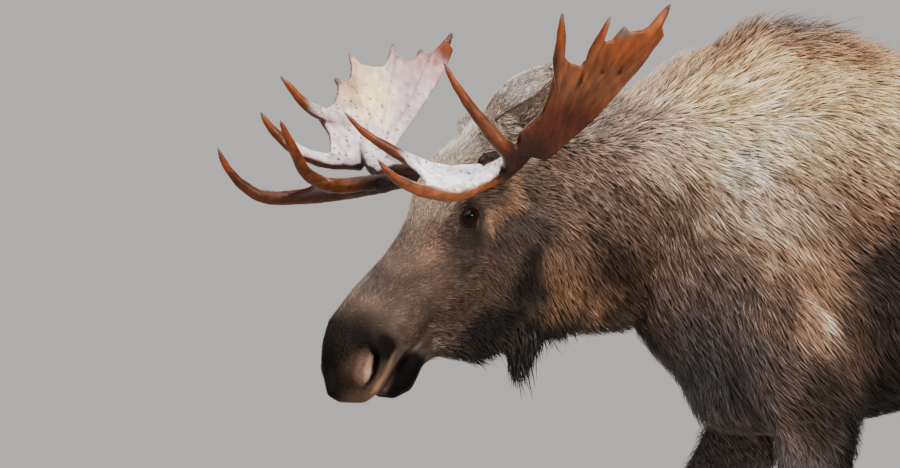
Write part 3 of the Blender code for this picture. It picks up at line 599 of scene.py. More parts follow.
def merged_nodes(nodes: Nodes, names: Sequence[str], swell: float) -> Mesh:
    """Copy some solids into one mesh, each welded and swelled a little so that they meet.

    Args:
        nodes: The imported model's objects by name.
        names: Which of them to copy.
        swell: How far each is pushed out along its normals.

    Returns:
        A new mesh of closed bodies that overlap.
    """
    whole = bmesh.new()
    for name in names:
        part = bmesh.new()
        part.from_mesh(nodes[name].data)
        bmesh.ops.remove_doubles(part, verts=part.verts, dist=WELD)
        part.normal_update()
        for vertex, normal in [(v, v.normal.copy()) for v in part.verts]:
            vertex.co += normal * swell
        piece = bpy.data.meshes.new("piece")
        part.to_mesh(piece)
        part.free()
        whole.from_mesh(piece)
        bpy.data.meshes.remove(piece)
    mesh = bpy.data.meshes.new("merged")
    whole.to_mesh(mesh)
    whole.free()
    return mesh


def remeshed(mesh: Mesh, voxel: float) -> Mesh:
    """Wrap one even skin of quads around overlapping bodies.

    Args:
        mesh: The closed bodies.
        voxel: The size of the quads.

    Returns:
        The skin.
    """
    thing = new_object("wrap", mesh)
    wrap = thing.modifiers.new("wrap", "REMESH")
    wrap.mode = "VOXEL"
    wrap.voxel_size = voxel
    return baked(thing)


def thinned(mesh: Mesh, ratio: float, pull: Array | None = None) -> Mesh:
    """Thin a mesh's triangles.

    Args:
        mesh: The mesh to thin.
        ratio: The share of triangles to keep.
        pull: Where given, 1 thins a vertex fully and less keeps more there.

    Returns:
        The thinned mesh.
    """
    thing = new_object("thin", mesh)
    thin = thing.modifiers.new("thin", "DECIMATE")
    thin.ratio = ratio
    if pull is not None:
        group = thing.vertex_groups.new(name="pull")
        for level in np.unique(pull):
            group.add(np.nonzero(pull == level)[0].tolist(), float(level), "REPLACE")
        thin.vertex_group = group.name
        thin.vertex_group_factor = 0.00001
    return baked(thing)


def refine(mesh: Mesh, near: Array) -> None:
    """Halve the edges of a mesh whose ends are both marked as near.

    Args:
        mesh: The mesh, which is changed.
        near: Whether each vertex is marked.
    """
    shape = bmesh.new()
    shape.from_mesh(mesh)
    shape.verts.ensure_lookup_table()
    edges = [e for e in shape.edges if near[e.verts[0].index] and near[e.verts[1].index]]
    bmesh.ops.subdivide_edges(shape, edges=edges, cuts=1, use_grid_fill=True)
    bmesh.ops.triangulate(shape, faces=[f for f in shape.faces if len(f.verts) > 4])
    shape.to_mesh(mesh)
    shape.free()
    mesh.update()


# ---------------------------------------------------------------- markings

# How dyes are adjusted, so that a coat that shades itself shows them: how much lighter they are made, how
# rich the darkest and the lightest are, the tone from which they count as light, how much deeper the dark
# ones are, and the tint of the tips
COAT_GAIN = 1.25
RICHNESS = (0.64, 1.12)
MID_TONE = 0.16
DARKENING = 0.14
CREAM = (1.04, 1.0, 0.93)


def dye(seen: str, spread: float = 0.30) -> tuple[float, ...]:
    """Give the colours of hair along its middle and at its tip, in linear light.

    Args:
        seen: The colour of the coat from a few paces off.
        spread: How much darker its middle and how much lighter its tip is.

    Returns:
        The middle's red, green and blue, then the tip's.
    """
    plain = linear(seen)
    grey = plain.mean()
    light = min(1.0, grey / MID_TONE)
    richness = RICHNESS[0] + (RICHNESS[1] - RICHNESS[0]) * light
    whole = np.maximum(grey + (plain - grey) * richness, 0.0) * COAT_GAIN * light**DARKENING
    return (*(whole * (1.0 - spread)), *(whole * (1.0 + 1.7 * spread) * np.array(CREAM)))


COAT_BASE = dye("#705A4D")
MARKINGS = (
    # trunk, from the withers down
    body(0.35, 1.72, (0.6, 0.95, 0.26), dye("#C2A48A"), core=0.55),
    body(0.02, 1.74, (0.6, 0.58, 0.11), dye("#CFAE8C"), core=0.55),
    body(0.05, 1.865, (0.8, 0.80, 0.08), dye("#8B6D56"), core=0.4),
    body(-0.14, 1.885, (0.4, 0.34, 0.07), dye("#7E6A5B")),
    body(-0.42, 1.79, (0.6, 0.20, 0.07), dye("#8A7664")),
    body(0.05, 1.955, (0.4, 0.90, 0.085), dye("#5E524D", -0.30), core=0.5),
    body(-0.43, 1.825, (0.3, 0.26, 0.05), dye("#6C6059", -0.32), tilt=36.0, core=0.5),
    body(0.16, 1.46, (0.6, 0.26, 0.15), dye("#85695A")),
    body(-0.14, 1.42, (0.6, 0.17, 0.10), dye("#A08775"), core=0.4),
    body(-0.18, 1.50, (0.6, 0.22, 0.09), dye("#B59F8E"), core=0.45),
    body(-0.20, 1.64, (0.6, 0.30, 0.09), dye("#DDBF9F"), tilt=6.0, core=0.4),
    body(-0.20, 1.565, (0.6, 0.11, 0.07), dye("#D6C3B2")),
    body(-0.31, 1.37, (0.6, 0.15, 0.11), dye("#716159"), tilt=-30.0),
    body(0.14, 1.31, (1.4, 0.17, 0.18), dye("#3A2E2A"), core=0.5),
    body(-0.28, 1.27, (0.6, 0.18, 0.11), dye("#625550")),
    body(-0.28, 1.17, (0.6, 0.20, 0.12), dye("#574E4D"), core=0.45),
    body(-0.28, 1.05, (0.6, 0.22, 0.16), dye("#545051"), core=0.5),
    # Dark belly: partly its own colour, partly painted shade that stands in for the shadow under the body
    body(0.60, 1.02, (1.4, 0.62, 0.20), dye("#211813"), core=0.6),
    body(0.26, 1.13, (1.4, 0.22, 0.15), dye("#2A1F1A")),
    body(0.01, 1.28, (0.6, 0.08, 0.17), dye("#5E4A3E")),
    body(-0.06, 1.34, (0.6, 0.08, 0.14), dye("#9A7F6C"), core=0.4),
    body(-0.06, 1.21, (0.6, 0.07, 0.12), dye("#A88A79"), core=0.4),
    body(-0.13, 1.11, (0.6, 0.09, 0.09), dye("#60524E")),
    body(-0.041, 1.236, (1.6, 0.070, 0.013), dye("#E8D2BE", 0.1), tilt=-51.5, core=0.5),
    body(1.22, 1.30, (0.6, 0.30, 0.34), dye("#5A4B42")),
    body(1.16, 1.62, (0.6, 0.26, 0.18), dye("#8E7764")),
    # neck
    body(-0.40, 1.64, (0.5, 0.14, 0.14), dye("#BBA795")),
    body(-0.53, 1.67, (0.5, 0.15, 0.10), dye("#82746C")),
    body(-0.58, 1.56, (0.5, 0.18, 0.08), dye("#806C62")),
    body(-0.56, 1.49, (0.5, 0.18, 0.06), dye("#6E5B52")),
    body(-0.51, 1.39, (0.5, 0.12, 0.09), dye("#4C3B31")),
    body(-0.50, 1.30, (0.5, 0.14, 0.14), dye("#422C1F")),
    body(-0.63, 1.38, (0.5, 0.11, 0.15), dye("#82695A"), core=0.45),
    body(-0.60, 1.28, (0.5, 0.13, 0.11), dye("#7E614C"), core=0.45),
    body(-0.47, 1.20, (0.5, 0.14, 0.06), dye("#34261E")),
    body(-0.70, 1.27, (0.5, 0.055, 0.11), dye("#3A2D27"), core=0.4),
    # legs
    body(0.5, 0.50, (0.6, 2.4, 0.62), dye("#66605F"), core=0.72),
    body(0.52, 1.18, (1.4, 0.60, 0.16), dye("#4A3B33"), core=0.4),
    # Painted shadow on the low flank behind the elbows
    body(0.45, 0.96, (2.0, 0.54, 0.30), dye("#1D1511"), core=0.8),
    body(0.90, 1.05, (0.6, 0.40, 0.16), dye("#2A211C"), core=0.5),
    body(-0.05, 1.05, (1.4, 0.09, 0.15), dye("#3E322C"), core=0.4),
    body(-0.19, 0.96, (1.4, 0.08, 0.12), dye("#625754")),
    body(0.5, 0.28, (0.6, 2.4, 0.26), dye("#6E655D"), core=0.6),
    body(0.5, 0.08, (0.6, 2.4, 0.12), dye("#4A433F")),
    body(1.34, 1.46, (0.1, 0.10, 0.16), dye("#463B35")),
    # head: the cheeks and jaw, then the face from the forehead down
    face(0.28, 0.0, -0.05, (0.44, 0.2, 0.26), dye("#5C4A40"), core=0.7),
    face(0.16, 0.0, 0.085, (0.17, 0.2, 0.055), dye("#A3907F"), core=0.4),
    face(0.30, 0.0, 0.085, (0.12, 0.2, 0.05), dye("#6C5A4F"), core=0.4),
    face(0.225, 0.075, 0.055, (0.045, 0.1, 0.025), dye("#6E574A")),
    face(0.28, 0.075, 0.035, (0.06, 0.1, 0.035), dye("#7A6154")),
    face(0.39, 0.0, 0.095, (0.08, 0.2, 0.05), dye("#54463F")),
    face(0.375, 0.07, 0.045, (0.050, 0.1, 0.04), dye("#57483F")),
    face(0.45, 0.04, 0.085, (0.045, 0.1, 0.045), dye("#6B584E")),
    face(0.43, 0.07, 0.025, (0.05, 0.1, 0.035), dye("#62524A")),
    face(0.345, 0.085, -0.010, (0.045, 0.1, 0.03), dye("#6A554A")),
    face(0.39, 0.08, -0.040, (0.04, 0.1, 0.025), dye("#54443C")),
    face(0.205, 0.10, -0.01, (0.06, 0.1, 0.06), dye("#43342D")),
    face(0.255, 0.095, -0.060, (0.05, 0.1, 0.035), dye("#463B37")),
    face(0.215, 0.10, -0.095, (0.05, 0.1, 0.03), dye("#5A4943")),
    face(0.29, 0.09, -0.095, (0.05, 0.1, 0.035), dye("#5C493F")),
    face(0.35, 0.08, -0.095, (0.05, 0.1, 0.035), dye("#4A3930")),
    face(0.155, 0.11, -0.115, (0.05, 0.1, 0.03), dye("#4E4340")),
    face(0.08, 0.12, -0.13, (0.09, 0.1, 0.08), dye("#594C47"), core=0.4),
    face(0.02, 0.11, -0.11, (0.08, 0.1, 0.08), dye("#66574F"), core=0.5),
    face(0.06, 0.12, -0.050, (0.08, 0.1, 0.045), dye("#917461"), core=0.4),
    face(0.125, 0.12, -0.052, (0.06, 0.1, 0.030), dye("#8C7260"), core=0.4, tilt=-30.0),
    face(0.205, 0.10, -0.190, (0.13, 0.1, 0.045), dye("#302825"), tilt=-14.0),
    face(0.36, 0.0, -0.19, (0.14, 0.2, 0.085), dye("#28221F"), core=0.5, tilt=20.0),
    face(0.33, 0.0, -0.33, (0.20, 0.2, 0.10), dye("#2F2D2B", 0.2), core=0.5),
    # Painted highlight along the bridge of the nose
    face(0.32, 0.0, 0.132, (0.22, 0.07, 0.028), dye("#94857A"), core=0.4),
    # round the eye
    face(0.165, 0.12, -0.006, (0.038, 0.05, 0.036), dye("#33251F"), core=0.55),
    face(0.142, 0.12, -0.028, (0.026, 0.05, 0.009), dye("#38322F", 0.15), tilt=-58.0, core=0.4),
    face(0.190, 0.11, -0.038, (0.040, 0.05, 0.022), dye("#322927", 0.15), tilt=-30.0, core=0.4),
    face(0.166, 0.12, -0.026, (0.020, 0.05, 0.006), dye("#5A4238", 0.1), tilt=-30.0),
    face(0.150, 0.12, 0.022, (0.030, 0.05, 0.010), dye("#6A5648"), tilt=20.0),
    face(0.203, 0.10, 0.011, (0.016, 0.04, 0.0022), dye("#A08A78", 0.1), tilt=-34.0),
    face(0.132, 0.115, 0.034, (0.050, 0.05, 0.014), dye("#9A8674", 0.4), tilt=24.0),
    face(0.175, 0.10, 0.048, (0.040, 0.05, 0.016), dye("#A08B78", 0.4), tilt=10.0),
    # muzzle
    face(0.57, 0.0, 0.07, (0.15, 0.2, 0.12), dye("#2A1C14", 0.4), core=0.5),
    face(0.62, 0.0, 0.07, (0.10, 0.07, 0.10), dye("#110A06", 0.3), core=0.4),
    face(0.534, 0.07, 0.074, (0.032, 0.08, 0.042), dye("#170E09", 0.3), core=0.4),
    face(0.514, 0.08, 0.012, (0.046, 0.07, 0.044), dye("#120D0A", 0.3), core=0.5),
    face(0.655, 0.0, 0.10, (0.05, 0.12, 0.06), dye("#4C3222", 0.2)),
    face(0.600, 0.085, 0.055, (0.055, 0.06, 0.042), dye("#432D21", 0.25), core=0.35),
    face(0.584, 0.085, 0.037, (0.052, 0.06, 0.028), dye("#634A3C", 0.2), tilt=-27.0, core=0.35),
    face(0.580, 0.085, 0.027, (0.042, 0.06, 0.014), dye("#8A7161", 0.1), tilt=-22.0, core=0.3),
    face(0.560, 0.07, -0.020, (0.070, 0.06, 0.015), dye("#735A4B", 0.15), core=0.4),
    face(0.598, 0.068, -0.020, (0.034, 0.06, 0.014), dye("#86674F", 0.1), core=0.4),
    face(0.645, 0.0, 0.01, (0.03, 0.09, 0.03), dye("#5A3D2A", 0.1)),
    face(0.545, 0.0, -0.088, (0.095, 0.2, 0.045), dye("#060505", 0.1), core=0.72),
    face(0.447, 0.055, -0.080, (0.045, 0.05, 0.034), dye("#4F423B", 0.15), tilt=-30.0, core=0.4),
    face(0.450, 0.055, -0.063, (0.034, 0.05, 0.010), dye("#786961", 0.15), tilt=-10.0, core=0.4),
    face(0.436, 0.055, -0.099, (0.028, 0.05, 0.011), dye("#7C6F6A", 0.15), tilt=-41.0, core=0.4),
    face(0.495, 0.045, -0.074, (0.018, 0.05, 0.014), dye("#140F0E", 0.1)),
    # crown and ears
    skull(0.06, 0.0, 1.65, (0.18, 0.22, 0.12), dye("#E6CFBB"), core=0.4),
    skull(-0.02, 0.14, 1.745, (0.085, 0.13, 0.11), dye("#958B84", 0.5), core=0.7),
    skull(-0.07, 0.15, 1.665, (0.060, 0.11, 0.08), dye("#958B84", 0.5), core=0.7),
)
EAR_CUP = dye("#6A5B54")
# How far the edges of the markings wander, and where they hardly do
MARK_BLUR = 18 * MM
SHARP_MARKS = face(0.40, 0.0, -0.02, (0.34, 0.3, 0.24), core=0.7)
# How strongly one lock differs from the next
CONTRAST = (
    body(-0.10, 1.62, (1.4, 0.50, 0.28), 1.35, core=0.5),
    body(-0.28, 1.08, (1.4, 0.26, 0.22), 0.80, core=0.5),
    skull(-0.03, 0.15, 1.73, (0.14, 0.16, 0.13), 2.0, core=0.7),
)


@dataclass(frozen=True)
class EarLine:
    """An ear's line from root to tip, the way its cup opens and its twist there, in the head's frame."""

    root: Triple
    tip: Triple
    opening: Triple
    twist: float = 0.0
    reach: float = 0.10

    def way(self) -> Array:
        """Give the direction from root to tip."""
        return unit(HEAD.from_head(np.array([self.tip])) - HEAD.from_head(np.array([self.root])))[0]

    def cup(self, points: Array, normals: Array) -> Array:
        """Give how far each place is inside the cup: 1 on its hollow side, 0 on its back.

        Args:
            points: Places on the hide.
            normals: The hide's normals there.

        Returns:
            A weight for each place.
        """
        head = HEAD.to_head(points) - np.array(self.root)
        axis = np.array(self.tip) - np.array(self.root)
        length = np.linalg.norm(axis)
        axis = axis / length
        along = head @ axis
        share = along / length
        away = np.linalg.norm(head - along[:, None] * axis, axis=1)
        opening = np.array(self.opening)
        opening = unit(opening - axis * (opening @ axis))
        angle = (self.twist * (1.0 - np.clip(share, 0.0, 1.0)))[:, None]
        inward = opening * np.cos(angle) + np.cross(axis, opening) * np.sin(angle)
        facing = ((normals @ HEAD.axes().T) * inward).sum(axis=1)
        on_ear = smooth_step(0.22, 0.36, share) * (away < self.reach) * (share < 1.1)
        return smooth_step(-0.05, 0.25, facing) * on_ear


EARS = {
    "ear_left": EarLine((0.030, 0.056, 1.655), (-0.070, 0.190, 1.806), (-0.62, 0.02, -0.76), -0.75),
    "ear_right": EarLine((-0.040, -0.055, 1.610), (-0.088, -0.205, 1.705), (-0.05, -0.70, -0.65)),
}


def hide_colours(places: Places, normals: Array) -> Array:
    """Give the main and tip colours of the coat at each place, with its mottling and the painted shade along
    its creases.

    Args:
        places: Where to work them out.
        normals: The hide's normals there.

    Returns:
        Red, green and blue of the hair's middle and then of its tip, a place to a row.
    """
    moved = places.points + np.stack([waves(places.points, 0.07, s) for s in (1, 2, 3)], axis=1) * MARK_BLUR
    moved = moved + (places.points - moved) * 0.75 * SHARP_MARKS.strength(places)[:, None]
    colours = airbrush(COAT_BASE, MARKINGS, Places(moved))
    for ear in EARS.values():
        colours = mixed(colours, np.array(EAR_CUP), ear.cup(places.points, normals))
    mottle_and_crease_shade = 1.0 + 0.08 * waves(places.points, 0.11, 5) + 0.06 * waves(places.points, 0.035, 6)
    # Painted shade darkens the colours along the creases, the mouth line and the nostril slits
    for crease in CREASES:
        if crease.shade:
            mottle_and_crease_shade = mottle_and_crease_shade * (1.0 - crease.shade * crease.depth_at(places) / (crease.depth * MM))
    return np.clip(colours * mottle_and_crease_shade[:, None], 0.0, 1.0)


# ---------------------------------------------------------------- lie and size of the coat

LIE_BASE = (0.0, 0.75, -0.65)
LIE = (
    body(0.40, 1.58, (0.6, 1.2, 0.36), (0.0, 0.72, -0.75), core=0.45),
    body(0.45, 1.88, (0.4, 1.2, 0.20), (0.2, 1.0, -0.15)),
    body(-0.22, 1.74, (0.6, 0.36, 0.10), (0.0, 1.0, 0.30)),
    body(-0.32, 1.84, (0.4, 0.26, 0.13), (0.0, 0.62, 0.85), core=0.4),
    body(0.02, 1.94, (0.3, 0.22, 0.12), (0.0, 0.95, 0.32)),
    body(-0.50, 1.74, (0.4, 0.22, 0.09), (0.0, 0.70, 0.75), core=0.4),
    body(-0.54, 1.655, (0.5, 0.20, 0.06), (0.0, 1.0, 0.10)),
    body(-0.50, 1.54, (0.5, 0.26, 0.12), (0.0, 0.72, -0.78), core=0.4),
    body(-0.20, 1.60, (0.6, 0.24, 0.08), (0.0, 0.85, -0.50)),
    body(-0.56, 1.30, (0.5, 0.20, 0.18), (0.0, 0.50, -0.87)),
    body(-0.34, 1.48, (0.6, 0.14, 0.16), (0.0, 0.45, -0.90)),
    body(-0.20, 1.28, (0.6, 0.26, 0.20), (0.0, 0.52, -0.86)),
    body(-0.30, 1.05, (0.6, 0.20, 0.22), (0.0, 0.35, -0.94)),
    body(0.05, 1.20, (0.6, 0.20, 0.16), (0.0, 0.50, -0.87)),
    body(0.60, 1.06, (0.6, 0.70, 0.16), (0.0, 0.95, -0.35)),
    body(1.25, 1.35, (0.6, 0.35, 0.40), (0.0, 0.45, -0.90)),
    body(0.5, 0.45, (0.6, 2.4, 0.62), (0.0, 0.12, -1.0), core=0.75),
    face(0.28, 0.0, -0.05, (0.44, 0.2, 0.26), (0.0, 0.90, 0.10), core=0.65),
    face(0.40, 0.0, 0.10, (0.30, 0.2, 0.10), (0.05, 0.55, 0.80)),
    face(0.33, 0.07, 0.05, (0.14, 0.1, 0.06), (0.1, 0.85, 0.48)),
    face(0.15, 0.04, 0.07, (0.12, 0.2, 0.08), (0.15, 0.62, 0.75)),
    face(0.12, 0.11, -0.09, (0.14, 0.1, 0.09), (0.0, 0.66, -0.75), core=0.4),
    face(0.22, 0.10, -0.03, (0.05, 0.1, 0.05), (0.0, 0.75, -0.45)),
    face(0.33, 0.08, -0.09, (0.12, 0.1, 0.06), (0.0, 0.95, -0.15)),
    face(0.24, 0.10, -0.13, (0.10, 0.1, 0.06), (0.0, 0.75, -0.60)),
    face(0.20, 0.10, -0.20, (0.15, 0.1, 0.07), (0.0, 0.55, -0.83)),
    face(0.39, 0.0, -0.20, (0.14, 0.2, 0.10), (0.0, 0.62, -0.78)),
    face(0.33, 0.0, -0.33, (0.20, 0.2, 0.10), (0.0, 0.22, -1.0), core=0.5),
    face(0.60, 0.0, 0.04, (0.12, 0.2, 0.12), (0.0, 0.42, 0.90)),
    face(0.55, 0.0, -0.09, (0.11, 0.2, 0.05), (0.0, 0.90, -0.35)),
    face(0.58, 0.06, -0.025, (0.06, 0.1, 0.02), (0.0, 0.80, 0.30)),
    skull(0.06, 0.0, 1.67, (0.14, 0.12, 0.08), (0.0, 0.75, 0.65)),
)
# Length, width and spacing of the tufts, in millimetres, and how far their tips stand off, as a share
HAIR_BASE = (54.0, 3.0, 5.5, 0.92)
HAIR = (
    body(-0.05, 1.94, (0.3, 0.50, 0.14), (76.0, 3.4, 5.9, 1.25)),
    body(-0.45, 1.76, (0.2, 0.30, 0.12), (60.0, 3.2, 5.5, 1.15)),
    body(-0.55, 1.40, (0.5, 0.22, 0.34), (36.0, 2.6, 4.8, 0.95), core=0.5),
    body(0.5, 0.62, (0.6, 2.4, 0.52), (28.0, 2.8, 6.4, 1.0), core=0.7),
    body(0.5, 0.24, (0.6, 2.4, 0.40), (16.0, 2.4, 6.0, 1.0), core=0.7),
    body(1.35, 1.46, (0.1, 0.10, 0.16), (45.0, 3.4, 5.4, 1.2)),
    face(0.26, 0.0, -0.08, (0.42, 0.2, 0.25), (19.0, 2.0, 4.0, 1.0), core=0.6),
    face(0.30, 0.0, 0.04, (0.24, 0.2, 0.13), (12.5, 1.5, 3.2, 1.0), core=0.6),
    face(0.10, 0.0, 0.06, (0.12, 0.2, 0.07), (20.0, 2.0, 3.9, 1.2)),
    face(0.42, 0.0, 0.07, (0.18, 0.2, 0.14), (11.0, 1.4, 3.1, 1.0), core=0.65),
    face(0.58, 0.0, 0.02, (0.14, 0.2, 0.14), (7.0, 1.2, 2.7, 1.25), core=0.65),
    face(0.53, 0.0, -0.085, (0.11, 0.2, 0.05), (4.5, 1.0, 2.8, 0.8), core=0.7),
    face(0.18, 0.11, -0.01, (0.07, 0.06, 0.055), (8.0, 1.2, 2.8, 1.0), core=0.5),
    face(0.22, 0.0, -0.20, (0.15, 0.2, 0.07), (30.0, 2.4, 4.6, 1.1)),
    face(0.40, 0.0, -0.22, (0.12, 0.2, 0.08), (46.0, 3.0, 4.4, 1.2)),
    face(0.33, 0.0, -0.33, (0.16, 0.2, 0.09), (54.0, 3.4, 4.4, 0.9), core=0.5),
    skull(0.06, 0.0, 1.66, (0.14, 0.12, 0.08), (30.0, 2.4, 4.2, 1.3)),
    skull(-0.04, 0.15, 1.735, (0.18, 0.15, 0.14), (15.0, 1.7, 3.6, 1.0), core=0.5),
)


def way_of_coat(places: Places, normals: Array, ears: dict[str, Array]) -> Array:
    """Give the direction in which the coat lies at each place, along the hide.

    Args:
        places: Where to work it out.
        normals: The hide's normals there.
        ears: For each ear, which of the places are on it.

    Returns:
        A unit direction for each place.
    """
    way = airbrush(LIE_BASE, LIE, places)
    way[:, 0] *= places.side
    way[:, 0] += 0.16 * waves(places.points, 0.16, 11)
    way[:, 1] += 0.14 * waves(places.points, 0.12, 12)
    way[:, 2] += 0.14 * waves(places.points, 0.12, 13)
    for name, on_ear in ears.items():
        way[on_ear] = EARS[name].way()
    way -= normals * (way * normals).sum(axis=1, keepdims=True)
    return unit(way)


# ---------------------------------------------------------------- finishes

# Size in millimetres of the patches that handling and rubbing have worn smoother or duller
WORN_SIZE = 1000.0 / 22.0


def node(tree: bpy.types.NodeTree, kind: str, links: dict[Any, Any] | None = None, **settings: Any) -> Any:
    """Add a shader node with its settings and links.

    Args:
        tree: The material's tree.
        kind: The node's type.
        links: For each input, a socket to link or a constant to set.
        settings: Properties of the node.

    Returns:
        The new node.
    """
    made = tree.nodes.new(kind)
    for name, value in settings.items():
        setattr(made, name, value)
    for name, value in (links or {}).items():
        if isinstance(value, bpy.types.NodeSocket):
            tree.links.new(value, made.inputs[name])
        else:
            made.inputs[name].default_value = value
    return made


@dataclass(frozen=True)
class Bump:
    """Fine relief of a surface: its size and depth in millimetres, its strength and its stretch."""

    size: float
    strength: float
    depth: float
    stretch: Triple = (1.0, 1.0, 1.0)


@dataclass(frozen=True)
class Finish:
    """What a surface is made of and how it answers light."""

    name: str
    roughness: float
    ior: float
    specular: float = 0.5
    sheen: float = 0.0
    sheen_tint: str = "#FFFFFF"
    coat: float = 0.0
    coat_roughness: float = 0.03
    grain: float = 0.0
    grain_size: float = 4.0
    worn: tuple[float, float] | None = None
    bumps: tuple[Bump, ...] = ()

    def material(self) -> Material:
        """Build the material, coloured by the piece's own tint attribute.

        Returns:
            The material.
        """
        made = bpy.data.materials.new(self.name)
        made.use_nodes = True
        tree = made.node_tree
        shader = tree.nodes["Principled BSDF"]
        tint = node(tree, "ShaderNodeVertexColor", layer_name=TINT)
        where = node(tree, "ShaderNodeTexCoord").outputs["Object"]
        colour = tint.outputs["Color"]
        if self.grain:
            speckle = node(tree, "ShaderNodeTexNoise", {
                "Vector": where, "Scale": 1.0 / (self.grain_size * MM), "Detail": 3.0,
            })
            shade = node(tree, "ShaderNodeMapRange", {
                "Value": speckle.outputs["Fac"], "From Min": 0.25, "From Max": 0.75,
                "To Min": 1.0 - self.grain, "To Max": 1.0 + self.grain,
            })
            scaled = node(tree, "ShaderNodeVectorMath", {0: colour, "Scale": shade.outputs["Result"]},
                          operation="SCALE")
            colour = scaled.outputs["Vector"]
        tree.links.new(colour, shader.inputs["Base Color"])
        if self.worn:
            patches = node(tree, "ShaderNodeTexNoise", {
                "Vector": where, "Scale": 1.0 / (WORN_SIZE * MM), "Detail": 5.0,
            })
            gloss = node(tree, "ShaderNodeMapRange", {
                "Value": patches.outputs["Fac"], "From Min": 0.3, "From Max": 0.7,
                "To Min": self.worn[0], "To Max": self.worn[1],
            })
            tree.links.new(gloss.outputs["Result"], shader.inputs["Roughness"])
        links: dict[str, Any] = {}
        for relief in self.bumps:
            spread = node(tree, "ShaderNodeMapping", {"Vector": where, "Scale": relief.stretch})
            noise = node(tree, "ShaderNodeTexNoise", {
                "Vector": spread.outputs["Vector"], "Scale": 1.0 / (relief.size * MM), "Detail": 4.0,
            })
            links |= {"Height": noise.outputs["Fac"], "Strength": relief.strength,
                      "Distance": relief.depth * MM}
            links["Normal"] = node(tree, "ShaderNodeBump", links).outputs["Normal"]
        if links:
            tree.links.new(links["Normal"], shader.inputs["Normal"])
        if not self.worn:
            shader.inputs["Roughness"].default_value = self.roughness
        shader.inputs["IOR"].default_value = self.ior
        shader.inputs["Specular IOR Level"].default_value = self.specular
        shader.inputs["Sheen Weight"].default_value = self.sheen
        shader.inputs["Sheen Roughness"].default_value = 0.4
        shader.inputs["Sheen Tint"].default_value = (*linear(self.sheen_tint), 1.0)
        shader.inputs["Coat Weight"].default_value = self.coat
        shader.inputs["Coat Roughness"].default_value = self.coat_roughness
        return made


# Guard hair: keratin, smooth and a little waxy, so a tuft shines along its length
GUARD_HAIR = Finish("guard_hair", 0.52, 1.55, 0.17, sheen=0.02, sheen_tint="#E8DCCB")
# Hide: tanned skin under short underfur; matt, with a felted grain a few millimetres across
HIDE_SKIN = Finish("hide_with_underfur", 0.72, 1.45, 0.07, grain=0.25, grain_size=3.0,
                   bumps=(Bump(2.2, 0.55, 0.9), Bump(7.0, 0.3, 1.6)))
# Antler: bare bone stained by bark and polished by rubbing; fine long pores and shallow channels
ANTLER_BONE = Finish("polished_antler_bone", 0.42, 1.55, 0.20, grain=0.22, grain_size=2.4, worn=(0.36, 0.58),
                     bumps=(Bump(1.6, 0.28, 0.5), Bump(6.0, 0.25, 1.2)))
# Hoof: dense horn, worn dull at the sole edge, with fine growth rings
HOOF_HORN = Finish("hoof_horn", 0.5, 1.55, 0.45, grain=0.3, grain_size=3.0, worn=(0.38, 0.62),
                   bumps=(Bump(3.0, 0.3, 0.8, stretch=(1.0, 1.0, 4.0)),))
# Eye: dark iris under a wet clear cornea
WET_EYE = Finish("wet_eye", 0.35, 1.38, 0.05, coat=0.14, coat_roughness=0.03)


def write_tint(mesh: Mesh, colours: Array) -> None:
    """Store a linear colour for each vertex under the name that the finishes read.

    Args:
        mesh: The mesh to colour.
        colours: Red, green and blue, a vertex to a row.
    """
    layer = mesh.color_attributes.new(TINT, "FLOAT_COLOR", "POINT")
    full = np.ones((len(colours), 4), np.float32)
    full[:, :3] = colours
    layer.data.foreach_set("color", full.ravel())


# ---------------------------------------------------------------- hide


# Where the thinned hide is made finer again, round the eye, the nostril and the corner of the mouth
EYE_RINGS = (0.052, 0.042, 0.034)
FINE_PATCHES = (
    face(0.56, 0.075, 0.0, (0.12, 0.08, 0.085), core=0.9),
    face(0.578, 0.085, 0.015, (0.062, 0.05, 0.045), core=0.9),
    face(0.43, 0.065, -0.065, (0.06, 0.06, 0.055), core=0.9),
)
# How strongly each part of the hide is evened out: the trunk fully, the ears hardly
SOFTNESS = (
    body(0.5, 0.5, (0.6, 2.4, 0.62), 0.75, core=0.7),
    face(0.28, 0.0, -0.05, (0.44, 0.3, 0.26), 0.75, core=0.7),
    face(0.56, 0.0, 0.00, (0.15, 0.3, 0.16), 0.85, core=0.7),
    skull(-0.04, 0.14, 1.73, (0.20, 0.16, 0.15), 0.30, core=0.7),
)
# How far the nostril's rim, the nose's side and the brow swell, in millimetres
SWELLING = (
    face(0.590, 0.085, 0.046, (0.050, 0.06, 0.038), 6),
    face(0.510, 0.080, 0.045, (0.050, 0.06, 0.040), 4),
    face(0.135, 0.115, 0.030, (0.045, 0.06, 0.020), 4),
    face(0.20, 0.10, 0.055, (0.070, 0.06, 0.030), 3),
)
# The parts that keep more of their triangles, and the muzzle, where the hide shows through its short hair
HEAD_AND_EARS = (
    face(0.30, 0.0, -0.03, (0.42, 0.3, 0.28), core=0.8),
    skull(-0.03, 0.15, 1.73, (0.22, 0.16, 0.15), core=0.8),
)
MUZZLE = face(0.60, 0.0, 0.0, (0.10, 0.2, 0.12))


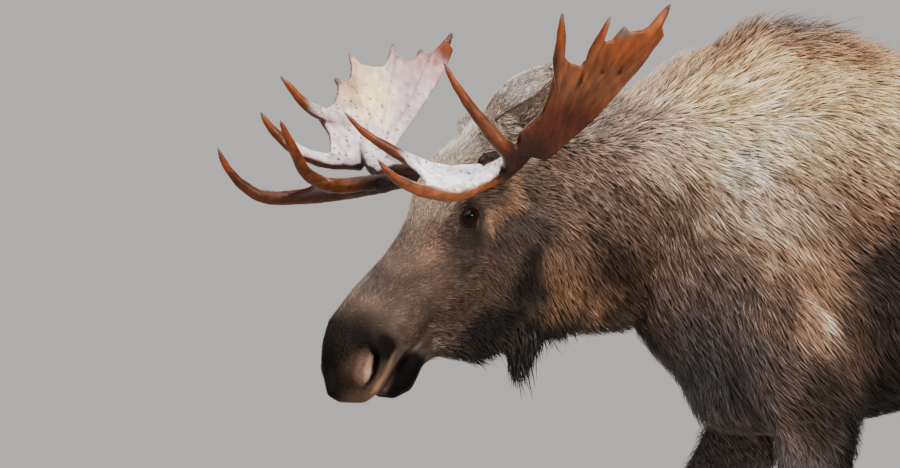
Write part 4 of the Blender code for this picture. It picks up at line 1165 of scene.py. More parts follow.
@dataclass
class Hide:
    """One skin over the whole body, from the tail to the lips and down to the hooves.

    It is under_shade times as light as the coat's colour, as painted shade under the hair, and
    muzzle_light lighter on the muzzle.
    """

    voxel: float = 0.005
    swell: float = 0.0006
    keep: float = 0.165
    head_pull: float = 0.5
    relax_rounds: int = 24
    under_shade: float = 0.70
    muzzle_light: float = 0.35

    def build(self, nodes: Nodes) -> Thing:
        """Wrap, smooth, draw in and carve the hide.

        Args:
            nodes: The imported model's objects by name.

        Returns:
            The hide, ready to ride on the body.
        """
        mesh = remeshed(merged_nodes(nodes, (*FLESH, "eye_left", "eye_right"), self.swell), self.voxel)
        softness = airbrush(1.0, SOFTNESS, Places(read_points(mesh)))[:, 0]
        points = relax(mesh, self.relax_rounds, softness)
        normals = softened(read_normals(mesh), read_edges(mesh), 4)
        depth = airbrush(COAT_DEPTH_BASE, COAT_DEPTH, Places(points)) * MM
        write_points(mesh, points - normals * depth)
        places = Places(read_points(mesh))
        kept = np.any([spot.strength(places) > 0.5 for spot in HEAD_AND_EARS], axis=0)
        mesh = thinned(mesh, self.keep, np.where(kept, self.head_pull, 1.0))
        for reach in EYE_RINGS:
            refine(mesh, distance(Places(read_points(mesh))[Part.HEAD], LIDS.centre) < reach)
        for spot in FINE_PATCHES:
            refine(mesh, spot.strength(Places(read_points(mesh))) > 0.3)
        self.carve(mesh)
        places = Places(read_points(mesh))
        colours = hide_colours(places, read_normals(mesh))[:, :3]
        # The hide is darkened under the coat as painted shade
        shade = self.under_shade + self.muzzle_light * MUZZLE.strength(places)
        write_tint(mesh, colours * shade[:, None])
        return dressed("hide", mesh, HIDE_SKIN.material())

    def carve(self, mesh: Mesh) -> None:
        """Cut the creases, nostrils and mouth, and draw the lids.

        Args:
            mesh: The hide's mesh, which is changed.
        """
        normals = softened(read_normals(mesh), read_edges(mesh), 3)
        points = read_points(mesh)
        places = Places(points)
        depth = sum(crease.depth_at(places) for crease in CREASES)
        depth = depth - airbrush(0.0, SWELLING, places)[:, 0] * MM
        points = points - normals * depth[:, None]
        places = Places(points)
        head = LIDS.place(places[Part.HEAD])
        near = distance(places[Part.HEAD], LIDS.centre) < LIDS.reach * 1.6
        head[:, 1] *= places.head_side
        write_points(mesh, np.where(near[:, None], HEAD.from_head(head), points))


# ---------------------------------------------------------------- coat


class Region(Enum):
    """Pieces of the coat, each paired with the name of a slot."""

    FACE_LEFT = ("coat_face_left", "coat_brown")
    FACE_RIGHT = ("coat_face_right", "coat_brown")
    JAW = ("coat_jaw", "coat_black")
    BELL = ("coat_bell", "coat_black")
    EARS = ("coat_ears", "coat_grey")
    NECK_LEFT = ("coat_neck_left", "coat_brown")
    NECK_RIGHT = ("coat_neck_right", "coat_brown")
    SHOULDER_LEFT = ("coat_shoulder_left", "coat_grey")
    SHOULDER_RIGHT = ("coat_shoulder_right", "coat_grey")
    FLANK_LEFT = ("coat_flank_left", "coat_brown")
    FLANK_RIGHT = ("coat_flank_right", "coat_brown")
    RUMP = ("coat_rump", "coat_brown")
    FORELEGS = ("coat_forelegs", "coat_slate")
    HINDLEGS = ("coat_hindlegs", "coat_slate")


# The pieces of coat that grow on each solid, left and right of the middle
GROWS = {
    "head": (Region.FACE_LEFT, Region.FACE_RIGHT),
    "neck": (Region.NECK_LEFT, Region.NECK_RIGHT),
    "lower_jaw": (Region.JAW, Region.JAW),
    "bell": (Region.BELL, Region.BELL),
    "tail": (Region.RUMP, Region.RUMP),
    **{f"ear_{side}": (Region.EARS, Region.EARS) for side in SIDES},
    **{f"foreleg_{side}": (Region.FORELEGS, Region.FORELEGS) for side in SIDES},
    **{f"hindleg_{side}": (Region.HINDLEGS, Region.HINDLEGS) for side in SIDES},
}
# The trunk's coat is parted across too: how far back each of its pieces starts
TRUNK = (
    (-9.0, (Region.SHOULDER_LEFT, Region.SHOULDER_RIGHT)), (0.20, (Region.FLANK_LEFT, Region.FLANK_RIGHT)),
    (0.95, (Region.RUMP, Region.RUMP)),
)


@dataclass
class Coat:
    """Solid tufts rooted all over the hide, thin, overlapping and lying along it.

    sink is how deep a root lies in the hide, ridge and arch are a tuft's height and bend as shares of
    its width and of how far it stands off, steepest is the most that it stands off as a share of its
    length, and swing is how far it turns from the lie of the coat. A clump_share of the tufts lead
    the others, whose tips are drawn to theirs by up to the share clump, where they are within
    clump_reach of their length. widths, stands and pulls are the spread of each tuft's width, stand
    and pull. A few tufts are odd: the share under odd_dark or over odd_light, by the factor beside
    it. Tufts longer than long may be bent, and bent_share of them are.
    """

    sink: float = 0.0012
    unevenness: float = 0.24
    swing: float = 0.13
    steepest: float = 0.62
    clump: float = 0.30
    clump_share: float = 0.11
    clump_reach: float = 0.6
    widths: tuple[float, float] = (0.7, 1.25)
    stands: tuple[float, float] = (0.55, 1.05)
    pulls: tuple[float, float] = (0.4, 1.0)
    odd_dark: tuple[float, float] = (0.09, 0.60)
    odd_light: tuple[float, float] = (0.92, 1.35)
    lock_contrast: float = 0.22
    hair_contrast: float = 0.20
    ridge: float = 0.30
    arch: float = 0.30
    long: float = 0.021
    bent_share: float = 0.35
    root_shade: float = 0.50

    def build(self, hide: Thing, labels: Array, names: Sequence[str]) -> list[tuple[Thing, str]]:
        """Root the tufts and build the coat's pieces.

        Args:
            hide: The finished hide.
            labels: For each vertex of the hide, the number of the solid that it stands for.
            names: The names of those solids.

        Returns:
            The pieces of the coat, each paired with the name of a slot.
        """
        self.rng = np.random.default_rng(SEED)
        hide.data.calc_loop_triangles()
        corners = read(hide.data.loop_triangles, "vertices", 3, np.int32)
        count = len(corners)
        points = read_points(hide.data)
        normals = read_normals(hide.data)
        places = Places(points)
        hair = airbrush(HAIR_BASE, HAIR, places)
        start, second, third = (points[corners[:, k]] for k in range(3))
        area = np.linalg.norm(np.cross(second - start, third - start), axis=1) / 2.0
        density = (1.0 - self.bareness(places)) / (hair[:, 2] * MM) ** 2
        wanted = area * density[corners].mean(axis=1)
        total = int(wanted.sum())
        steps = (np.arange(total) + self.rng.uniform(0.0, 1.0, total)) / total * wanted.sum()
        triangle = np.searchsorted(np.cumsum(wanted), steps).clip(0, count - 1)
        first, second = self.rng.uniform(0.0, 1.0, (2, total))
        over = first + second > 1.0
        first[over], second[over] = 1.0 - first[over], 1.0 - second[over]
        shares = np.stack([1.0 - first - second, first, second], axis=1)
        chosen = corners[triangle]
        self.roots, rising, self.hair = (
            np.einsum("ij,ijk->ik", shares, values[chosen]) for values in (points, normals, hair)
        )
        self.normals = unit(rising)
        self.labels = labels[chosen[:, 0]]
        root_places = Places(self.roots)
        ears = {name: self.labels == names.index(name) for name in EARS}
        self.ways = way_of_coat(root_places, self.normals, ears)
        self.depth = airbrush(COAT_DEPTH_BASE, COAT_DEPTH, root_places)[:, 0] * MM
        self.colours = hide_colours(root_places, self.normals)
        log.info("tufts: %d", total)
        self.shape_tufts()
        self.patches = self.unwrap(hide)
        return self.pieces(root_places, names)

    def bareness(self, places: Places) -> Array:
        """Give how bare the hide is: inside the lids, the nostrils and the mouth.

        Args:
            places: Places on the hide.

        Returns:
            From 0, where the coat is full, to 1, where it has no hair.
        """
        local = (places[Part.HEAD] - np.array(LIDS.centre)) @ LIDS.axes().T
        eye = (np.abs(local[:, 2]) < 0.05) * (1.0 - smooth_step(1.25, 1.5, LIDS.span(local)))
        slits = NOSTRIL.depth_at(places) / (17 * MM) + NOSTRIL_FOLD.depth_at(places) / (12 * MM)
        return np.clip(eye + smooth_step(0.25, 0.6, slits), 0.0, 1.0)

    def shape_tufts(self) -> None:
        """Give each tuft its size, bend, clump and shades."""
        count = len(self.roots)
        rng = self.rng
        self.length = self.hair[:, 0] * MM * np.exp(rng.normal(0.0, self.unevenness, count))
        self.width = self.hair[:, 1] * MM * rng.uniform(*self.widths, count)
        swing = rng.normal(0.0, self.swing, count) + 0.10 * waves(self.roots, 0.03, 21)
        self.ways = unit(self.ways + np.cross(self.normals, self.ways) * swing[:, None])
        self.sides = np.cross(self.normals, self.ways)
        stand = self.depth * self.hair[:, 3] * rng.uniform(*self.stands, count)
        self.stand = np.minimum(stand, self.length * self.steepest)
        flat = np.sqrt(np.maximum(self.length**2 - self.stand**2, 0.0))
        self.tips = self.roots + self.ways * flat[:, None] + self.normals * self.stand[:, None]
        leaders = rng.choice(count, int(count * self.clump_share), replace=False)
        tree = KDTree(len(leaders))
        for index, leader in enumerate(leaders):
            tree.insert(self.tips[leader], index)
        tree.balance()
        nearest = np.array([tree.find(tip)[1] for tip in self.tips])
        pull = self.tips[leaders[nearest]] - self.tips
        near = np.linalg.norm(pull, axis=1) < self.length * self.clump_reach
        share = self.clump * rng.uniform(*self.pulls, count) * near
        self.tips = self.tips + pull * share[:, None]
        lock = np.exp(rng.normal(0.0, self.lock_contrast, len(leaders)))
        shade = lock[nearest] * np.exp(rng.normal(0.0, self.hair_contrast, count))
        shade = shade * (1.0 + 0.10 * waves(self.roots, 0.018, 22))
        chance = rng.uniform(size=count)
        shade = np.where(chance > self.odd_light[0], shade * self.odd_light[1], shade)
        shade = np.where(chance < self.odd_dark[0], shade * self.odd_dark[1], shade)
        shade = (shade ** airbrush(1.0, CONTRAST, Places(self.roots))[:, 0])[:, None]
        self.main = np.clip(self.colours[:, :3] * shade, 0.0, 1.0)
        self.light = np.clip(self.colours[:, 3:] * shade, 0.0, 1.0)

    def unwrap(self, hide: Thing) -> Array:
        """Lay the hide's own shape out flat, and find each root's place on it.

        Args:
            hide: The finished hide.

        Returns:
            Each root's place on the bake map.
        """
        proxy = new_object("pattern", thinned(hide.data.copy(), 0.07))
        bpy.context.view_layer.objects.active = proxy
        bpy.ops.object.select_all(action="DESELECT")
        proxy.select_set(True)
        bpy.ops.object.mode_set(mode="EDIT")
        bpy.ops.mesh.select_all(action="SELECT")
        bpy.ops.uv.smart_project(angle_limit=math.radians(75.0), island_margin=0.002)
        bpy.ops.object.mode_set(mode="OBJECT")
        mesh = proxy.data
        tree = BVHTree.FromPolygons([v.co for v in mesh.vertices], [p.vertices[:] for p in mesh.polygons])
        layer = read(mesh.uv_layers.active.data, "uv", 2)
        points = read_points(mesh)
        found = [tree.find_nearest(Vector(root)) for root in self.roots]
        spots = np.array([hit[0] for hit in found])
        starts = np.array([mesh.polygons[hit[2]].loop_start for hit in found])
        loop_vertex = read(mesh.loops, "vertex_index", 1, np.int32)[:, 0]
        a, b, c = (points[loop_vertex[starts + k]] for k in range(3))
        normal = np.cross(b - a, c - a)
        whole = np.maximum((normal * normal).sum(axis=1), 1e-18)
        share_a = (np.cross(c - b, spots - b) * normal).sum(axis=1) / whole
        share_b = (np.cross(a - c, spots - c) * normal).sum(axis=1) / whole
        shares = (share_a, share_b, 1.0 - share_a - share_b)
        flat = sum(layer[starts + k] * share[:, None] for k, share in enumerate(shares))
        bpy.data.objects.remove(proxy)
        return np.clip(flat, BAKE_PATCH, 1.0 - BAKE_PATCH)

    def region_of(self, places: Places, names: Sequence[str]) -> Array:
        """Give the number of the coat piece that each tuft belongs to.

        Args:
            places: The tufts' roots.
            names: The names of the solids that the labels number.

        Returns:
            The place of each tuft's piece among the regions.
        """
        order = list(Region)
        number = np.zeros(len(self.labels), int)
        back = places[Part.BODY][:, 1]
        for index, name in enumerate(names):
            parts = TRUNK if name == "trunk" else ((-9.0, GROWS[name]),)
            left = (places.side if name == "trunk" else places.head_side) > 0.0
            for start, pair in parts:
                here = (self.labels == index) & (back >= start)
                number[here] = np.where(left, order.index(pair[0]), order.index(pair[1]))[here]
        return number

    def pieces(self, places: Places, names: Sequence[str]) -> list[tuple[Thing, str]]:
        """Build one mesh for each region.

        Args:
            places: The tufts' roots.
            names: The names of the solids that the labels number.

        Returns:
            The pieces of the coat, each paired with the name of a slot.
        """
        numbers = self.region_of(places, names)
        material = GUARD_HAIR.material()
        made = []
        for index, region in enumerate(Region):
            chosen = np.nonzero(numbers == index)[0]
            name, slot = region.value
            mesh = self.tuft_mesh(name, chosen)
            mesh.materials.append(material)
            made.append((new_object(name, mesh), slot))
            log.info("%s: %d tufts, %d triangles", name, len(chosen), len(mesh.polygons))
        return made

    def tuft_mesh(self, name: str, chosen: Array) -> Mesh:
        """Build the tufts of one region: some of the long ones with a bend, the rest as plain spikes.

        Args:
            name: The name of the piece.
            chosen: Which tufts it has.

        Returns:
            The mesh of the piece.
        """
        bent = (self.length[chosen] > self.long) & (self.rng.uniform(size=len(chosen)) < self.bent_share)
        groups = (self.spikes(chosen[bent], 2), self.spikes(chosen[~bent], 1))
        points, colours, flat = (np.concatenate([group[k] for group in groups]) for k in (0, 2, 3))
        faces = np.concatenate([groups[0][1], groups[1][1] + len(groups[0][0])])
        mesh = bpy.data.meshes.new(name)
        mesh.vertices.add(len(points))
        mesh.vertices.foreach_set("co", points.astype(np.float32).ravel())
        mesh.loops.add(faces.size)
        mesh.loops.foreach_set("vertex_index", faces.astype(np.int32).ravel())
        mesh.polygons.add(len(faces))
        mesh.polygons.foreach_set("loop_start", np.arange(0, faces.size, 3, dtype=np.int32))
        mesh.update(calc_edges=True)
        mesh.validate()
        write_tint(mesh, colours)
        layer = mesh.uv_layers.new(name=BAKE_MAP)
        layer.data.foreach_set("uv", flat[faces.ravel()].astype(np.float32).ravel())
        return mesh

    def spikes(self, chosen: Array, rings: int) -> tuple[Array, Array, Array, Array]:
        """Give the points, faces, colours and map places of some tufts.

        Args:
            chosen: Which tufts.
            rings: How many three-cornered rings each has below its tip.

        Returns:
            Points, triangles, linear colours and places on the bake map.
        """
        count = len(chosen)
        up = self.normals[chosen]
        side = self.sides[chosen]
        roots = self.roots[chosen] - up * self.sink
        along = self.tips[chosen] - roots
        arch = up * (self.stand[chosen] * self.arch)[:, None]
        width = self.width[chosen][:, None]
        base = self.patches[chosen]
        points = np.empty((count, rings * 3 + 1, 3))
        colours = np.empty((count, rings * 3 + 1, 3))
        flat = np.empty((count, rings * 3 + 1, 2))
        for ring in range(rings):
            way = ring / rings
            centre = roots + along * way + arch * math.sin(math.pi * way)
            wide = width * (0.85 if ring == 0 else 0.80)
            shade = self.main[chosen] * self.root_shade if ring == 0 else self.main[chosen]
            for corner, (across, rise) in enumerate(((-0.5, 0.0), (0.5, 0.0), (0.0, self.ridge))):
                points[:, ring * 3 + corner] = centre + side * wide * across + up * wide * rise
                colours[:, ring * 3 + corner] = shade
                lift = way - 0.5 + (0.12 if rise else 0.0)
                flat[:, ring * 3 + corner] = base + np.array([across, lift]) * BAKE_PATCH
        points[:, -1] = self.tips[chosen]
        colours[:, -1] = self.light[chosen]
        flat[:, -1] = base + np.array([0.0, 0.5]) * BAKE_PATCH
        edges = ((0, 1), (1, 2), (2, 0))
        pattern = [(0, 2, 1)]
        for ring in range(rings - 1):
            for a, b in ((ring * 3 + a, ring * 3 + b) for a, b in edges):
                pattern += [(a, b, b + 3), (a, b + 3, a + 3)]
        last = (rings - 1) * 3
        pattern += [(last + a, last + b, rings * 3) for a, b in edges]
        faces = np.array(pattern)[None] + (np.arange(count) * (rings * 3 + 1))[:, None, None]
        return points.reshape(-1, 3), faces.reshape(-1, 3), colours.reshape(-1, 3), flat.reshape(-1, 2)


def solid_labels(
    hide: Thing, nodes: Nodes, names: Sequence[str]
) -> Array:
    """Give, for each vertex of the hide, the number of the solid it is nearest to.

    Args:
        hide: The finished hide.
        nodes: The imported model's objects by name.
        names: The solids, in the order in which they are numbered.

    Returns:
        A number for each vertex.
    """
    places = []
    for name in names:
        mesh = nodes[name].data
        places.append(np.concatenate([
            np.unique(read_points(mesh).round(5), axis=0), read(mesh.polygons, "center", 3),
        ]))
    owner = np.repeat(np.arange(len(names)), [len(points) for points in places])
    tree = KDTree(len(owner))
    for index, point in enumerate(np.concatenate(places)):
        tree.insert(point, index)
    tree.balance()
    return owner[[tree.find(point)[1] for point in read_points(hide.data)]]


# ---------------------------------------------------------------- antlers

ANTLER_PARTS = ("beam", "brow", "palm")
PALE_BONE = linear("#CDBFC0")
OUTER_BONE = linear("#54290F")
# Orange painted light towards the antler's points
TIP_PAINTED_LIGHT = linear("#7C3409")
DARK_ASH = linear("#2A2422")
PALE_ASH = linear("#5C524C")
# What share of red, green and blue bark stains and old blood take from the bleached bone
BARK_STAIN = np.array((0.18, 0.34, 0.50))
BLOOD_VEIL = np.array((0.50, 0.85, 0.70))
ANTLER_OUTER = (
    skull(-0.06, 0.60, 1.90, (0.16, 0.10, 0.05), linear("#7C5230"), core=0.3),
    skull(0.00, 0.58, 1.80, (0.26, 0.14, 0.14), linear("#5E351D"), core=0.5),
    skull(0.02, 0.50, 1.66, (0.14, 0.12, 0.10), linear("#3A1606")),
    skull(0.02, 0.11, 1.58, (0.10, 0.11, 0.08), linear("#1E0E08"), core=0.5),
    skull(0.08, 0.30, 1.56, (0.16, 0.20, 0.09), linear("#240A03"), core=0.5),
    skull(0.10, 0.44, 1.60, (0.09, 0.10, 0.09), linear("#280C04"), core=0.4),
)
ANTLER_INNER = (
    skull(0.07, 0.54, 1.75, (0.10, 0.14, 0.11), linear("#F6DFB4"), core=0.5),
    skull(-0.10, 0.54, 1.77, (0.10, 0.14, 0.14), linear("#BFA9AB"), core=0.5),
    skull(0.12, 0.46, 1.63, (0.12, 0.12, 0.08), linear("#D2C3C8"), core=0.5),
    skull(0.22, 0.34, 1.56, (0.16, 0.16, 0.06), linear("#EDE9EE"), core=0.6),
)


@dataclass(frozen=True)
class Bleached:
    """A part of the antler that rain and light bleach, and the way that part faces, in the head's frame."""

    spot: Spot
    facing: Triple
    start: float
    full: float

    def strength(self, places: Places, turned: Array) -> Array:
        """Give how bleached each place is, from its place and its normal in the head's frame."""
        faced = turned @ np.array(self.facing) + 0.08 * waves(places.points, 0.03, 41)
        return smooth_step(self.start, self.full, faced) * self.spot.strength(places)


@dataclass
class Antler:
    """One antler of bare bone: burr, beam, brow plate and palm in one piece.

    tips are its points, plates the parts that are bleached, and own a stain that the other has not.
    The channels run out from heart, the pearls lie round burr, the ridges along beam, and the specks
    are densest at brow, all in the head's frame. The last five are how high each stands, in
    millimetres.
    """

    side: str
    tips: tuple[Triple, ...]
    plates: tuple[Bleached, ...]
    own: tuple[Spot, ...]
    voxel: float = 0.0030
    swell: float = 0.0004
    relax_rounds: int = 45
    heart: Triple = (0.085, 0.40, 1.575)
    burr: Triple = (0.035, 0.128, 1.575)
    beam: Triple = (0.08, 0.26, 1.57)
    brow: Triple = (0.24, 0.34, 1.56)
    channel: float = 0.6
    vein: float = 0.7
    rope: float = 0.7
    pearl: float = 2.4
    dent: float = 0.5

    def build(self, nodes: Nodes) -> Thing:
        """Wrap the antler's solids, carve its channels and pearls, and stain it.

        Args:
            nodes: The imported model's objects by name.

        Returns:
            The antler.
        """
        mesh = remeshed(merged_nodes(nodes, self.solids(), self.swell), self.voxel)
        points = relax(mesh, self.relax_rounds)
        normals = read_normals(mesh)
        places = Places(points)
        head = places[Part.HEAD]
        tip_near = np.min([distance(head, tip) for tip in self.tips], axis=0)
        ways = unit(head - np.array(self.heart))
        channels = np.abs(waves(ways, 0.11, 31, 14)) ** 0.7
        veins = np.abs(waves(ways, 0.26, 32, 10))
        ropes = waves(head * np.array([1.0, 0.12, 1.0]), 0.011, 33, 10)
        ropes = ropes * (1.0 - smooth_step(0.05, 0.20, distance(head, self.beam)))
        pearls = np.maximum(waves(points, 0.011, 34, 12), 0.0)
        pearls = pearls * (1.0 - smooth_step(0.03, 0.075, distance(head, self.burr)))
        relief = (channels - 0.6) * self.channel + (veins - 0.6) * self.vein
        relief = relief + ropes * self.rope + pearls * self.pearl + waves(points, 0.030, 35) * self.dent
        relief = relief * (smooth_step(0.0, 0.05, tip_near) * 0.8 + 0.2)
        write_points(mesh, points + normals * (relief * MM)[:, None])
        write_tint(mesh, self.stain(places, normals, tip_near, channels, ropes))
        return dressed(f"antler_{self.side}", mesh, ANTLER_BONE.material())

    def solids(self) -> list[str]:
        """Give the names of the antler's solids."""
        return [f"antler_{self.side}_{part}" for part in ANTLER_PARTS]

    def stain(
        self, places: Places, normals: Array, tip_near: Array, channels: Array, ropes: Array
    ) -> Array:
        """Give the colour of each vertex: pale where rain and light bleach it, rust outside, with orange
        painted light towards the points.

        Args:
            places: The vertices' places.
            normals: The vertices' normals.
            tip_near: The distance of each from the nearest point.
            channels: The relief of the channels, low in their beds.
            ropes: The relief of the ridges along the beam.

        Returns:
            A linear colour for each vertex.
        """
        points = places.points
        head = places[Part.HEAD]
        turned = normals @ HEAD.axes().T
        turned[:, 1] *= places.head_side
        pale = np.max([plate.strength(places, turned) for plate in self.plates], axis=0)
        outer = airbrush(OUTER_BONE, (*ANTLER_OUTER, *self.own), places)
        tint = mixed(outer, airbrush(PALE_BONE, ANTLER_INNER, places), pale)
        # Painted light, orange, towards the points
        tint = mixed(tint, TIP_PAINTED_LIGHT, smooth_step(0.13, 0.03, tip_near) * 0.55)
        worn = smooth_step(0.036, 0.010, tip_near + 0.006 * waves(points, 0.02, 42))
        cap = 0.5 + 0.5 * smooth_step(-0.4, 0.4, waves(points, 0.05, 43))
        tint = mixed(tint, mixed(DARK_ASH[None], PALE_ASH, cap), 0.8 * worn)
        tint = tint * (1.0 - 0.30 * smooth_step(0.45, 0.10, channels)[:, None])
        tint = tint * (1.0 + 0.16 * np.clip(ropes, -1.0, 1.0))[:, None]
        low = smooth_step(0.40, 0.25, distance(head, self.brow))
        specks = smooth_step(1.2 - 0.30 * low, 1.5 - 0.25 * low, waves(points, 0.0075, 44, 12)) * pale
        tint = tint * (1.0 - ((0.40 + 0.45 * low) * specks)[:, None])
        stains = smooth_step(0.9, 1.6, waves(points, 0.016, 47, 12)) * pale
        tint = tint * (1.0 - stains[:, None] * BARK_STAIN)
        veil = smooth_step(0.2, 1.3, waves(points, 0.045, 49)) * pale * (0.40 - 0.25 * low)
        tint = tint * (1.0 - veil[:, None] * BLOOD_VEIL)
        streaks = waves(unit(head - np.array(self.heart)), 0.035, 48, 14) * (1.0 - pale)
        blotch = 1.0 + 0.14 * waves(points, 0.05, 45) + 0.16 * waves(points, 0.015, 46)
        return np.clip(tint * (blotch * (1.0 + 0.22 * streaks))[:, None], 0.0, 1.0)


LEFT_TIPS = (
    (0.470, 0.460, 1.596), (0.460, 0.250, 1.703), (0.311, 0.464, 1.815), (0.083, 0.606, 1.925),
    (-0.039, 0.606, 1.916), (-0.080, 0.592, 1.890), (-0.180, 0.616, 1.941),
)
RIGHT_TIPS = (
    (0.471, 0.457, 1.632), (0.415, 0.220, 1.691), (0.345, 0.500, 1.712), (0.308, 0.470, 1.794),
    (0.136, 0.547, 1.789), (0.088, 0.580, 1.850), (-0.031, 0.592, 1.875), (-0.102, 0.585, 1.858),
    (-0.190, 0.605, 1.898),
)
# The way that the hollow side of a palm faces
PALM_FACING = (0.0, -0.894, 0.447)
ANTLERS = (
    Antler("left", LEFT_TIPS, (
        Bleached(skull(0.22, 0.33, 1.56, (0.19, 0.17, 0.08), core=0.75), (0.10, -0.30, 0.95), -0.25, 0.15),
        Bleached(skull(-0.02, 0.52, 1.74, (0.22, 0.20, 0.17), core=0.7), PALM_FACING, 0.10, 0.55),
    ), (skull(0.30, 0.34, 1.525, (0.26, 0.24, 0.06), linear("#6E3C1F"), core=0.5),)),
    Antler("right", RIGHT_TIPS, (
        Bleached(skull(0.18, 0.38, 1.620, (0.17, 0.17, 0.060), core=0.85), (0.10, -0.60, 0.80), 0.20, 0.60),
        Bleached(skull(0.02, 0.52, 1.74, (0.24, 0.20, 0.17), core=0.8), PALM_FACING, 0.10, 0.55),
    ), (skull(0.24, 0.42, 1.55, (0.24, 0.14, 0.06), linear("#3A1408"), core=0.5),)),
)


# ---------------------------------------------------------------- eyes and hooves

IRIS = linear("#0E0604")
IRIS_RIM = linear("#160806")
PUPIL = linear("#010204")
# The white of the eye is dark in a moose, and all but hidden by the lids
EYE_WHITE = linear("#2A100C")
HORN_EDGE = linear("#4B433D")
HORN_TOP = linear("#24201E")


@dataclass
class Eye:
    """One eyeball with its cornea, iris and wide pupil."""

    side: str
    radius: float = 0.0224
    cornea: float = 0.0005
    iris: float = 0.0150
    pupil_length: float = 0.0096
    pupil_height: float = 0.0056

    def build(self) -> Thing:
        """Turn the ball to its gaze and colour it.

        Returns:
            The eyeball.
        """
        sign = 1.0 if self.side == "left" else -1.0
        shape = bmesh.new()
        bmesh.ops.create_uvsphere(shape, u_segments=96, v_segments=64, radius=self.radius)
        mesh = bpy.data.meshes.new("eyeball")
        shape.to_mesh(mesh)
        shape.free()
        local = read_points(mesh)
        along, up = local[:, 0], local[:, 1]
        spread = np.hypot(along, up)
        front = local[:, 2] > 0.0
        bulge = self.cornea * np.cos(np.clip(spread / self.iris, 0.0, 1.0) * math.pi / 2.0) ** 2
        local[:, 2] += np.where(front, bulge, 0.0)
        angle = np.arctan2(up, along)
        rays = 1.0 + 0.25 * np.sin(angle * 23.0) * np.sin(angle * 7.0)
        tint = mixed(IRIS * rays[:, None], IRIS_RIM, smooth_step(self.iris * 0.75, self.iris, spread))
        tint = mixed(tint, EYE_WHITE, smooth_step(self.iris, self.iris * 1.15, spread))
        pupil = np.hypot(along / self.pupil_length, up / self.pupil_height)
        tint = mixed(PUPIL[None], tint, smooth_step(0.85, 1.1, pupil))
        tint = np.where(front[:, None], tint, EYE_WHITE)
        head = local @ LIDS.axes() + np.array(LIDS.centre)
        head[:, 1] *= sign
        write_points(mesh, HEAD.from_head(head))
        if sign < 0.0:
            mesh.flip_normals()
        write_tint(mesh, tint)
        return dressed(f"eyeball_{self.side}", mesh, WET_EYE.material())


@dataclass
class Hooves:
    """The toes and dewclaws of one foot, with growth rings round the horn that slant down backwards."""

    leg: str
    voxel: float = 0.0022
    height: float = 0.07
    ring_gap: float = 0.0075
    ring_height: float = 0.0006
    slant: float = 0.35

    def build(self, nodes: Nodes) -> list[Thing]:
        """Wrap each solid of horn and raise its rings.

        Args:
            nodes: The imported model's objects by name.

        Returns:
            The four pieces of horn of this foot.
        """
        made = []
        material = HOOF_HORN.material()
        for name in (f"{kind}_{self.leg}_{side}" for kind in ("toe", "dewclaw") for side in SIDES):
            mesh = remeshed(merged_nodes(nodes, (name,), 0.0), self.voxel)
            sole = read_points(mesh)[:, 2].min()
            points = relax(mesh, 3)
            normals = read_normals(mesh)
            slant = points[:, 2] + self.slant * points[:, 1]
            rings = np.sin(slant / self.ring_gap * 2.0 * math.pi) + 0.5 * waves(points, 0.012, 51)
            wall = smooth_step(0.002, 0.010, points[:, 2] - sole)
            wall = wall * smooth_step(0.9, 0.4, np.abs(normals[:, 2]))
            points = points + normals * (rings * self.ring_height * wall)[:, None]
            points[:, 2] = np.maximum(points[:, 2], sole)
            write_points(mesh, points)
            shade = 1.0 + 0.2 * np.clip(rings, -1.0, 1.0) * wall
            tint = mixed(HORN_EDGE[None], HORN_TOP, smooth_step(0.0, self.height, points[:, 2]))
            write_tint(mesh, tint * shade[:, None])
            piece = dressed(f"horn_{name}", mesh, material)
            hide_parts(name)
            made.append(piece)
        return made


# ---------------------------------------------------------------- studio


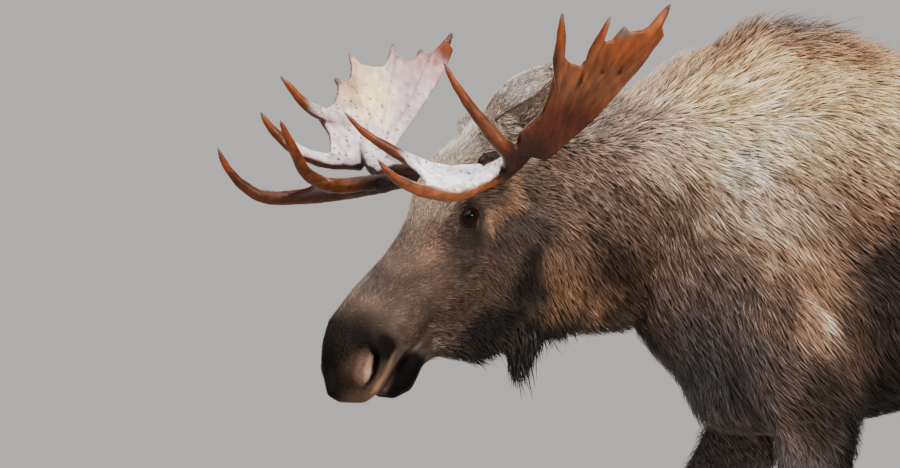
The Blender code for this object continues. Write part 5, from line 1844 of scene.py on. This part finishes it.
@dataclass(frozen=True)
class Studio:
    """A pale floor, soft light from above and the camera that looks at the animal's left side."""

    floor_radius: float = 260.0
    view_turn: float = math.radians(78.0)
    view_distance: float = 24.0
    view_width: float = 2.0455
    centre: Triple = (0.0609, -0.8668, 1.4255)
    sensor: float = 36.0
    tone: str = "#9F9C99"
    sky_strength: float = 0.30
    roof_strength: float = 4.6
    roof_spread: float = math.radians(60.0)
    roof_from: Triple = (0.42, -0.12, 1.0)
    lit: Triple = (0.0, -0.3, 1.3)

    def build(self) -> None:
        """Set the floor, the sky, the lamps and the camera."""
        self.floor()
        self.sky()
        self.roof_light()
        self.lamp("key", (6.4, 2.6, 4.2), (3.0, 0.9), 850.0, "#FFF4E8")
        self.lamp("rim", (-4.5, 1.5, 5.5), (3.0, 3.0), 240.0, "#FFF6EA")
        self.lamp("front", (3.0, -7.0, 5.4), (3.0, 3.0), 150.0, "#F8F4FF")
        self.camera()

    def floor(self) -> None:
        """Lay a wide round floor with its top at the soles."""
        shape = bmesh.new()
        bmesh.ops.create_circle(shape, cap_ends=True, segments=96, radius=self.floor_radius)
        mesh = bpy.data.meshes.new("floor")
        shape.to_mesh(mesh)
        shape.free()
        made = bpy.data.materials.new("matt_studio_floor")
        made.use_nodes = True
        sockets = made.node_tree.nodes["Principled BSDF"].inputs
        sockets["Base Color"].default_value = (*linear(self.tone), 1.0)
        sockets["Roughness"].default_value = 1.0
        sockets["Specular IOR Level"].default_value = 0.0
        mesh.materials.append(made)
        new_object("floor", mesh)

    def sky(self) -> None:
        """Light the room evenly from all round, and show behind the animal what the far floor shows."""
        world = bpy.data.worlds.new("studio")
        world.use_nodes = True
        tree = world.node_tree
        light = tree.nodes["Background"]
        light.inputs["Color"].default_value = (1.0, 1.0, 1.0, 1.0)
        light.inputs["Strength"].default_value = self.sky_strength
        shown = node(tree, "ShaderNodeBackground", {
            "Color": (*linear(self.tone), 1.0), "Strength": self.far_floor(),
        })
        path = node(tree, "ShaderNodeLightPath")
        both = node(tree, "ShaderNodeMixShader", {
            0: path.outputs["Is Camera Ray"], 1: light.outputs["Background"], 2: shown.outputs["Background"],
        })
        tree.links.new(both.outputs["Shader"], tree.nodes["World Output"].inputs["Surface"])
        bpy.context.scene.world = world

    def far_floor(self) -> float:
        """Give the light that falls on the far floor, as the strength of an even sky."""
        steep = self.roof_from[2] / math.sqrt(sum(step * step for step in self.roof_from))
        return self.sky_strength + self.roof_strength * steep / math.pi

    def roof_light(self) -> None:
        """Let soft daylight fall evenly through a wide roof light."""
        light = bpy.data.lights.new("roof", "SUN")
        light.energy = self.roof_strength
        light.angle = self.roof_spread
        holder = new_object("roof", light)
        holder.rotation_euler = Vector(self.roof_from).to_track_quat("Z", "Y").to_euler()

    def lamp(self, name: str, place: Triple, size: tuple[float, float], power: float, tone: str) -> None:
        """Hang one soft lamp that points at the animal.

        Args:
            name: What the lamp is for.
            place: Where it hangs.
            size: Its width and height.
            power: Its power in watts.
            tone: The colour of its light.
        """
        light = bpy.data.lights.new(name, "AREA")
        light.shape = "RECTANGLE"
        light.size, light.size_y = size
        light.energy = power
        light.color = linear(tone)
        holder = new_object(name, light)
        holder.location = place
        aim = Vector(self.lit) - Vector(place)
        holder.rotation_euler = aim.to_track_quat("-Z", "Y").to_euler()

    def camera(self) -> None:
        """Set a long lens level with the head."""
        lens = bpy.data.cameras.new("view")
        lens.sensor_width = self.sensor
        lens.lens = self.sensor * self.view_distance / self.view_width
        lens.clip_end = 1000.0
        holder = new_object("view", lens)
        away = Vector((math.sin(self.view_turn), -math.cos(self.view_turn), 0.0))
        holder.location = Vector(self.centre) + away * self.view_distance
        holder.rotation_euler = (-away).to_track_quat("-Z", "Y").to_euler()
        bpy.context.scene.camera = holder


def corners(box: Any) -> list[list[float]]:
    """Turn a box's two corners into plain lists."""
    return [[float(value) for value in corner] for corner in box]


def main() -> None:
    """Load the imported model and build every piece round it."""
    logging.basicConfig(level=logging.INFO, format="%(relativeCreated)7.0f ms  %(message)s")
    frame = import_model()
    nodes = frame["nodes"]

    hide = Hide().build(nodes)
    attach(hide, BODY)
    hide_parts(*FLESH)
    log.info("hide: %d faces", len(hide.data.polygons))

    for piece, slot in Coat().build(hide, solid_labels(hide, nodes, FLESH), FLESH):
        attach(piece, BODY)

    for antler in ANTLERS:
        piece = antler.build(nodes)
        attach(piece, BODY)
        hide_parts(*antler.solids())
        log.info("%s: %d faces", piece.name, len(piece.data.polygons))

    for side in SIDES:
        piece = Eye(side).build()
        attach(piece, BODY)
        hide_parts(f"eye_{side}")
        log.info("%s: %d faces", piece.name, len(piece.data.polygons))

    for leg in LEGS:
        for piece in Hooves(leg).build(nodes):
            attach(piece, BODY)
            log.info("%s: %d faces", piece.name, len(piece.data.polygons))

    Studio().build()


if __name__ == "__main__":
    main()
